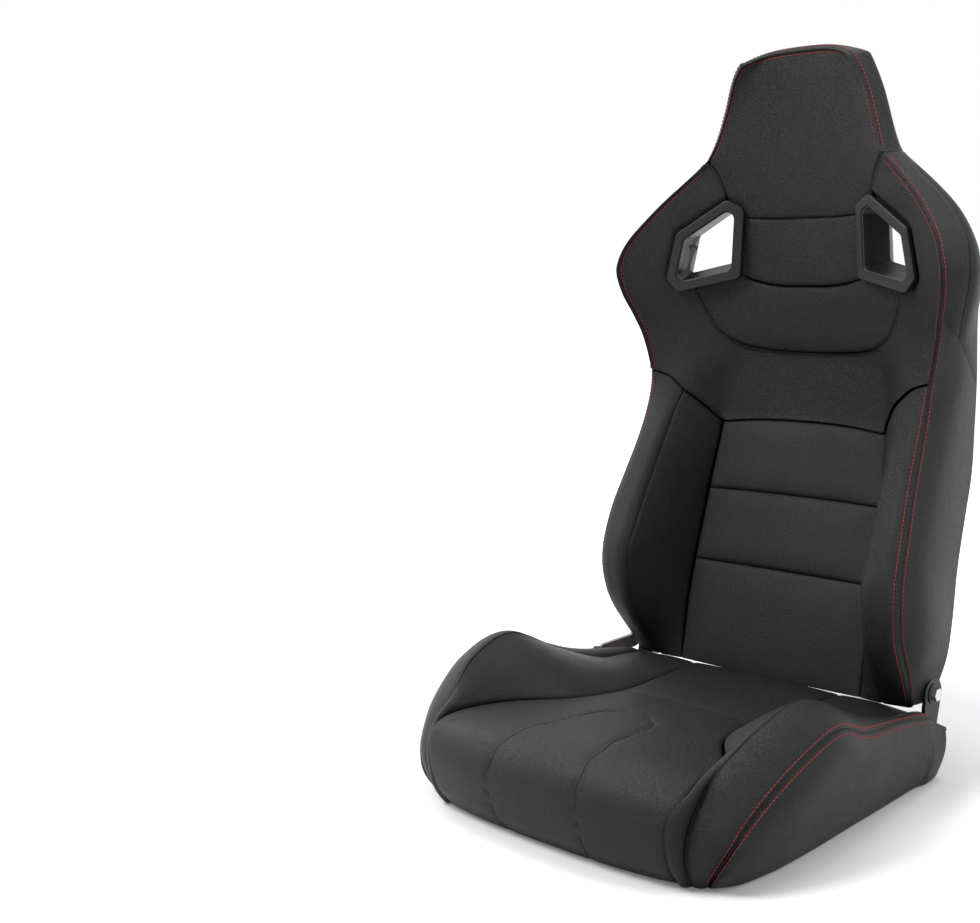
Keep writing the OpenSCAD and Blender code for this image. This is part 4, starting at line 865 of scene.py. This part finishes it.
# The curved seam down the left of the cushion's nose, as [x, station]
NOSE_SEAM = path([[18, 4.13], [39, 4.35], [47, 4.75], [48, 5.2], [60, 6.2], [64, 6.95], [68, 7.9],
                  [68, 8.8], [64, 9.85]], 160)


def arched(middle, seam, u):
    """Depth and height across the cushion, from its middle to its seam where u is 1."""
    return [middle[:, k:k + 1] + (seam[:, k:k + 1] - middle[:, k:k + 1]) * u ** 2 for k in (1, 2)]


def on_cushion(points):
    """[x, station] points on the cushion's surface."""
    middle, seam = curve(MID_ROW, points[:, 1]), curve(SEAM_ROW, points[:, 1])
    x = points[:, :1]
    return np.column_stack([x] + arched(middle, seam, x / seam[:, :1]))


BOLSTER_CORE = np.array([150, 0, 30.0])
CUSHION_SEAMS = [on_cushion(NOSE_SEAM), on_cushion(NOSE_SEAM * [-1, 1]),
                 on_cushion(path([[-100, 3.07], [-50, 3.1], [0, 3.12], [50, 3.1], [100, 3.07]], 100))]


def cushion():
    stations = 10 * spread(630.0, step=4.0)
    middle, seam, inside_row = (curve(row, stations) for row in (MID_ROW, SEAM_ROW, INSIDE))
    u = 2 * spread(230.0, step=3.8)[None, :] - 1
    x = u * (seam[:, :1] - SEAM)
    base = np.stack([x] + arched(middle, seam, u), -1)
    normal = outwards(grid_normals(base), base, np.array([0, 0, 20.0]))
    drop = rolled(base, INWARD, INWARD, None, END)
    crown = 5 * (1 - u ** 4) * ramp(1, 3, stations)[:, None]
    rise = crown - drop - 1.7 * grooves(base, CUSHION_SEAMS, 3.6) + 0.35 * hashed(base * 0.06, 41)
    outer = base + normal * rise[..., None]
    inner = np.stack([x, inside_row[:, 1:2] + 0 * u, inside_row[:, 2:3] + 0 * u], -1)
    seat_piece("seat_cushion", outer, inner, "seat_cushion")


cushion()


def bolsters():
    a, b, c, low, p = (curve(row, STATIONS) for row in (SEAM_ROW, CREST_ROW, STITCH_ROW, LOW_ROW, INSIDE))
    ts = spread(110.0, step=5.0)
    t = ts[None, :, None]
    base = (a + [SEAM, 0, 0])[:, None] * (1 - t) + b[:, None] * t
    normal = outwards(grid_normals(base), base, BOLSTER_CORE)
    drop = rolled(base, (7, 5), CREST, None, END)
    bulge = 4 * np.sin(np.pi * ts)[None] * ramp(0, 2.5, STATIONS)[:, None]
    inner_face = base + normal * (bulge - drop + 0.3 * hashed(base * 0.07, 51))[..., None]
    ts = spread(60.0, step=4.0)
    t = ts[None, :, None]
    base = (b + [SEAM, 0, 0])[:, None] * (1 - t) + c[:, None] * t
    normal = outwards(grid_normals(base), base, BOLSTER_CORE)
    narrow = np.clip(edge_distances(base)[1][:, :1] / 45, 0.1, 1)
    drop = narrow * rolled(base, CREST, (6, 4), None, END)
    bulge = 8 * narrow * (1 - (2 * ts - 1) ** 2)[None]
    top_face = base + normal * (bulge - drop + 0.3 * hashed(base * 0.07, 52))[..., None]

    def under(skin):
        limit = np.minimum(c[:, :1], low[:, :1]) - COVER_T - 2
        x = np.minimum(skin[..., 0], limit)
        back = STATIONS[:, None] > 6.5
        y = np.maximum(p[:, 1:2], np.where(back, skin[..., 1] + 12, p[:, 1:2]))
        z = np.minimum(p[:, 2:3], np.where(back, skin[..., 2], skin[..., 2] - 8))
        return np.stack([x, y, z], -1)

    for side, word in SIDES:
        for part, skin in (("inner", inner_face), ("outer", top_face)):
            seat_piece(f"seat_bolster_{part}_{word}", sided(skin, side), sided(under(skin), side),
                       "seat_bolster_" + word)
    return top_face, normal


bolster_top, bolster_normal = bolsters()


def seat_sides():
    a, b, c, d = (curve(row, STATIONS) for row in (STITCH_ROW, SIDE_ROW, LOW_ROW, FLOOR_ROW))
    a = a + [2 * SEAM, 0, 0]
    ts = spread(150.0, step=5.0)
    rows = [np.repeat(row, len(ts), 0) for row in (a, b, c, d)]
    base = between_rows([0.0, 0.35, 0.72, 1.0], rows, np.tile(ts, len(STATIONS)))
    base = base.reshape(len(STATIONS), len(ts), 3)
    normal = outwards(grid_normals(base), base, np.array([150, 0, 60.0]))
    top, bottom, rear, front = edge_distances(base)
    narrow = np.clip(bottom[:, :1] / 60, 0.05, 1)
    drop = np.maximum(narrow * np.maximum(roll(top, 6, 4), roll(bottom, 8, 3)), roll(rear, 8, 5))
    outer = base + normal * (0.3 * hashed(base * 0.07, 61) - drop)[..., None]
    inner = base - normal * (COVER_T + drop[..., None] * 0.3)
    inner[..., 2] = np.maximum(inner[..., 2], 0.3)
    for side, word in SIDES:
        seat_piece("seat_side_" + word, sided(outer, side), sided(inner, side), "seat_side_" + word)
    return outer, normal


seat_side_outer, seat_side_normal = seat_sides()


# ---------- stitches ----------

def inset_line(grid, normal, distance):
    """Points and normals on a grid at a distance from its first column, one for each row."""
    lengths = [run_length(row) for row in grid]
    return [np.array([at_length(distance, length, row) for length, row in zip(lengths, rows)])
            for rows in (grid, normal)]


STITCH_STEP = 5.2
STITCH_LENGTH = 4.3
STITCH_R = 0.6
# Places along half a stitch's length, with the share of its full thickness there
STITCH_RINGS = ((-1.0, 0.15), (-0.8, 0.75), (0.0, 1.0), (0.8, 0.75), (1.0, 0.15))
TUBE_SIDES = 6


def tubes(name, runs, material, body):
    """Closed tubes in one piece. A run has the middle, the sideways and the upward radius of each ring."""
    vertices, faces = [], []
    turns = 2 * math.pi * np.arange(TUBE_SIDES)[:, None] / TUBE_SIDES
    for middles, sideways, upward in runs:
        start = len(vertices)
        for middle, w, n in zip(middles, sideways, upward):
            vertices.extend(middle + np.cos(turns) * w + np.sin(turns) * n)
        last = len(vertices) - TUBE_SIDES
        for i in range(start, last, TUBE_SIDES):
            for k in range(TUBE_SIDES):
                a, b = i + k, i + (k + 1) % TUBE_SIDES
                faces.append((a, b, b + TUBE_SIDES, a + TUBE_SIDES))
        faces.append(tuple(range(start, start + TUBE_SIDES)))
        faces.append(tuple(reversed(range(last, last + TUBE_SIDES))))
    piece = mesh_piece(name, np.array(vertices), faces, material, body)


def stitches(name, lines, body):
    """Short rounded stitches of thread along lines of (points, normals)."""
    place, thickness = np.array(STITCH_RINGS).T[..., None]
    runs = []
    for points, normals in lines:
        length = run_length(points)
        for where in (np.arange(int(length[-1] / STITCH_STEP)) + 0.5) * STITCH_STEP:
            d = unit(at_length(where + 1, length, points) - at_length(where - 1, length, points))
            n = at_length(where, length, normals)
            n = unit(n - d * (n @ d))
            centre = at_length(where, length, points)
            middles = centre + d * place * STITCH_LENGTH / 2 + n * (0.25 - 0.5 * place ** 4)
            radius = STITCH_R * thickness
            runs.append((middles, radius * np.cross(d, n), radius * n))
    tubes(name, runs, THREAD, body)


def tree_of(names):
    """One search tree over several pieces, in metres."""
    vertices, faces = [], []
    for name in names:
        mesh = SKINS[name].data
        start = len(vertices)
        vertices += [v.co.copy() for v in mesh.vertices]
        faces += [[start + i for i in p.vertices] for p in mesh.polygons]
    return BVHTree.FromPolygons(vertices, faces)


def draped(flat, tree):
    """[x, z] points dropped on to the front of the backrest, from in front."""
    points, normals = [], []
    for x, z in flat:
        hit, normal, _, _ = tree.ray_cast(Vector((x * MM, -0.6, z * MM)), Vector((0, 1, 0)))
        if hit is not None:
            points.append([hit.x / MM, hit.y / MM + DEPTH_CENTRE, hit.z / MM])
            normals.append([v if normal.y < 0 else -v for v in normal])
    return np.array(points), np.array(normals)


def offset_line(flat, distance):
    """An [x, z] line moved sideways, to its left as it runs."""
    d = unit(np.gradient(flat, axis=0))
    return flat + distance * np.column_stack([-d[:, 1], d[:, 0]])


def cord(name, lines, radius, body):
    """Thin folds of leather along lines of (points, normals), darker than the leather round them: painted
    shade in the seams.
    """
    runs = []
    for points, normals in lines:
        d = unit(np.gradient(points, axis=0))
        n = unit(normals - d * (normals * d).sum(1, keepdims=True))
        runs.append((points, radius * np.cross(d, n), radius * n))
    tubes(name, runs, SEAM_SHADE, body)


def laid_on(points, piece):
    """A line moved to the nearest skin of a piece, with the skin's normals."""
    tree = tree_of([piece])
    found = [tree.find_nearest(Vector(p)) for p in to_scene(points)]
    where = np.array([tuple(f[0]) for f in found]) / MM + [0, DEPTH_CENTRE, 0]
    return where, np.array([tuple(f[1]) for f in found])


# Thin dark lines in the grooves of the cushion's and the shoulders' seams: painted shade
cord("cushion_seams", [laid_on(line, "seat_cushion") for line in CUSHION_SEAMS], 0.5, "base")
cord("shoulder_seams", [laid_on(sided(line, side), "back_side_" + word)
                        for side, word in SIDES for line in SHOULDER_SEAMS], 0.5, "backrest")

FOLD_R = 2.2
FOLD_IN = 2.4


def seat_fold(row, side):
    """The turned-in leather at the bottom of one of the seat's seams, with its normals."""
    stations = 10 * np.linspace(0, 1, 150)
    points = curve(row, stations)
    upward = np.gradient(points, axis=0)[:, [0, 2, 1]] * [0, -1, 1]
    normals = outwards(upward, points, np.array([0, 0, 40.0]))
    outward = points - BOLSTER_CORE
    outward[:, 1] *= ramp(5, 8, stations)
    fold = np.maximum(points - 2.6 * unit(outward), [-999, -999, 2.4])
    return sided(fold, side), sided(normals, side)


# The turned-in leather in the seams, in the darker seam material: real folds, with painted shade
seat_folds = [seat_fold(row, side) for side, _ in SIDES for row in (CREST_ROW, STITCH_ROW)]
cord("seat_folds", seat_folds, FOLD_R, "base")
# The same along the backrest's crest, from the foot to the neck and round the head
crest_zs = np.linspace(106, 781, 160)
crest = curve(CREST_LINE, crest_zs)
up_crest = np.column_stack([crest[:, 0] - FOLD_IN, crest[:, 1] + FOLD_IN, crest_zs])
HEAD_OUTLINE = HEAD_CREST + HEAD_TOP[-2:-5:-1]
head_line = path(HEAD_OUTLINE, 90)
head_fold = at_depth(front_y, head_line) + [0, FOLD_IN, 0]
head_fold[:, [0, 2]] += FOLD_IN * unit([0, HEAD_MIDDLE] - head_line)
cord("crest_folds", [(line, np.tile([0.0, -1.0, 0.0], (len(line), 1)))
                     for line in (up_crest, sided(up_crest, -1), mirrored(head_fold))], FOLD_R, "backrest")
across = side_at(np.linspace(0.02, 0.96, 40), NECK_Z) - [2.6, 0, 0]
cord("neck_folds", [(sided(across, side), np.tile([float(side), 0, 0], (40, 1))) for side, _ in SIDES], 2.3,
     "backrest")
# Behind the head, where its band meets the back cover
rear_fold = band_outer[:, -1] - 1.5 * band_out[:, -1] + [0, 1, 0]
cord("rear_fold", [(rear_fold, band_out[:, -1])], 2.8, "backrest")

ROW_IN = 8.0
CREST_ROW_IN = 5.5
STITCH_FOOT = 112
front_tree = tree_of(["headrest_pad", "upper_back_pad", "back_bolster_left", "back_bolster_right"])
front_row = offset_line(up(CREST_LINE, STITCH_FOOT, 778, 223), CREST_ROW_IN)
head_row = mirrored(offset_line(path(HEAD_OUTLINE, 70), CREST_ROW_IN))
stitches("stitches_front", [draped(row, front_tree) for row in (front_row, front_row * [-1, 1], head_row)],
         "backrest")


def both_sides(line, normals, wanted):
    return [(sided(line[wanted], side), sided(normals[wanted], side)) for side, _ in SIDES]


line, normals = inset_line(side_outer, side_normal, CREST_ROW_IN)
side_lines = both_sides(line, normals, (line[:, 2] > STITCH_FOOT) & (line[:, 2] < 780))
line, normals = inset_line(band_outer, band_out, CREST_ROW_IN)
side_lines.append((line[4:-4], normals[4:-4]))
stitches("stitches_sides", side_lines, "backrest")
seat_lines = []
for grid, grid_normal in ((bolster_top[:, ::-1], bolster_normal[:, ::-1]),
                          (seat_side_outer, seat_side_normal)):
    line, normals = inset_line(grid, grid_normal, ROW_IN)
    seat_lines += both_sides(line, normals, (line[:, 2] > 5) & (np.arange(len(line)) >= 20))
stitches("stitches_seat", seat_lines, "base")

# ---------- CAD pieces that show as they are ----------

CAD_LOOKS = {
    BLACK_STEEL: ["base_frame", "hinge_bracket_left", "hinge_bracket_right", "pivot_washer",
                  "recliner_housing", "back_frame", "hinge_arm_left", "hinge_arm_right"],
    BRIGHT_STEEL: ["seat_springs", "bracket_bolts", "pivot_bolt", "pivot_bush", "pivot_nut", "recliner_hub",
                   "recliner_cam", "recliner_pawl_upper", "recliner_pawl_lower", "lever_screw",
                   "lever_spring", "mat_hooks"],
    GREY_STEEL: ["release_lever"],
    PLASTIC: ["lever_grip"],
    LINING: ["dust_cover", "suspension_mat"],
    LEATHER: ["seat_rear_panel"],
}
for material, names in CAD_LOOKS.items():
    for name in names:
        for slot in bpy.data.objects[name].material_slots:
            slot.material = material

# ---------- floor, backdrop and light ----------

def lamp(name, location, target, size, power, size_y=None):
    data = bpy.data.lights.new(name, "AREA")
    data.shape = "RECTANGLE"
    data.size = size
    data.size_y = size_y or size
    data.energy = power
    made = placed(name, data)
    made.location = location
    made.rotation_euler = (Vector(target) - Vector(location)).to_track_quat("-Z", "Y").to_euler()


def combined(tree, operation, *sources):
    made = tree.nodes.new("ShaderNodeMath")
    made.operation = operation
    for source, socket in zip(sources, made.inputs):
        tree.links.new(source, socket)
    return made


def seen_directly(tree):
    """1 on the camera's rays and on those that mirror or pass through a surface, 0 on the others."""
    rays = tree.nodes.new("ShaderNodeLightPath").outputs
    both = combined(tree, "ADD", rays["Is Camera Ray"], rays["Is Glossy Ray"])
    every = combined(tree, "ADD", both.outputs[0], rays["Is Transmission Ray"])
    every.use_clamp = True
    return every.outputs[0]


floor_mesh = bpy.data.meshes.new("floor")
reach = 14.0
corners = ((-1, -1), (1, -1), (1, 1), (-1, 1))
floor_mesh.from_pydata([(reach * x, reach * y, 0) for x, y in corners], [], [(0, 1, 2, 3)])
floor = placed("floor", floor_mesh)
floor_material, floor_tree, floor_shader, floor_coords = new_material("floor")
wire(floor_tree, floor_shader, Base_Color=(0.86, 0.86, 0.87, 1), Roughness=0.9, Specular_IOR_Level=0.1)
# The floor glows white away from the seat, and near it shows the light and the shadows
radius = floor_tree.nodes.new("ShaderNodeVectorMath")
radius.operation = "LENGTH"
floor_tree.links.new(floor_coords, radius.inputs[0])
far_out = node(floor_tree, "ShaderNodeMapRange", "Result", Value=radius.outputs["Value"],
               From_Min=0.5, From_Max=1.3, To_Min=0.1, To_Max=1.0)
lift = combined(floor_tree, "MULTIPLY", seen_directly(floor_tree), far_out)
added = floor_tree.nodes.new("ShaderNodeAddShader")
floor_tree.links.new(floor_shader.outputs[0], added.inputs[0])
glow = node(floor_tree, "ShaderNodeEmission", 0, Strength=lift.outputs[0])
floor_tree.links.new(glow, added.inputs[1])
wire(floor_tree, floor_tree.nodes["Material Output"], Surface=added.outputs[0])
floor_mesh.materials.append(floor_material)

world = bpy.data.worlds.new("world")
bpy.context.scene.world = world
world.use_nodes = True
wire(world.node_tree, world.node_tree.nodes["Background"], Color=(1, 1, 1, 1),
     Strength=stretched(world.node_tree, seen_directly(world.node_tree), 0.25, 1.0))

lamp("key", (-0.9, -1.6, 2.6), (0, 0, 0.4), 1.2, 70)
lamp("right_side", (2.0, 0.5, 1.9), (0, 0, 0.7), 1.0, 20, size_y=1.6)
lamp("left_side", (-2.2, 0.2, 1.6), (0, 0, 0.5), 1.0, 25, size_y=1.6)
lamp("top", (0.2, 0.3, 3.0), (0, 0, 0.3), 2.0, 45)

scene = bpy.context.scene
scene.view_settings.view_transform = "Standard"
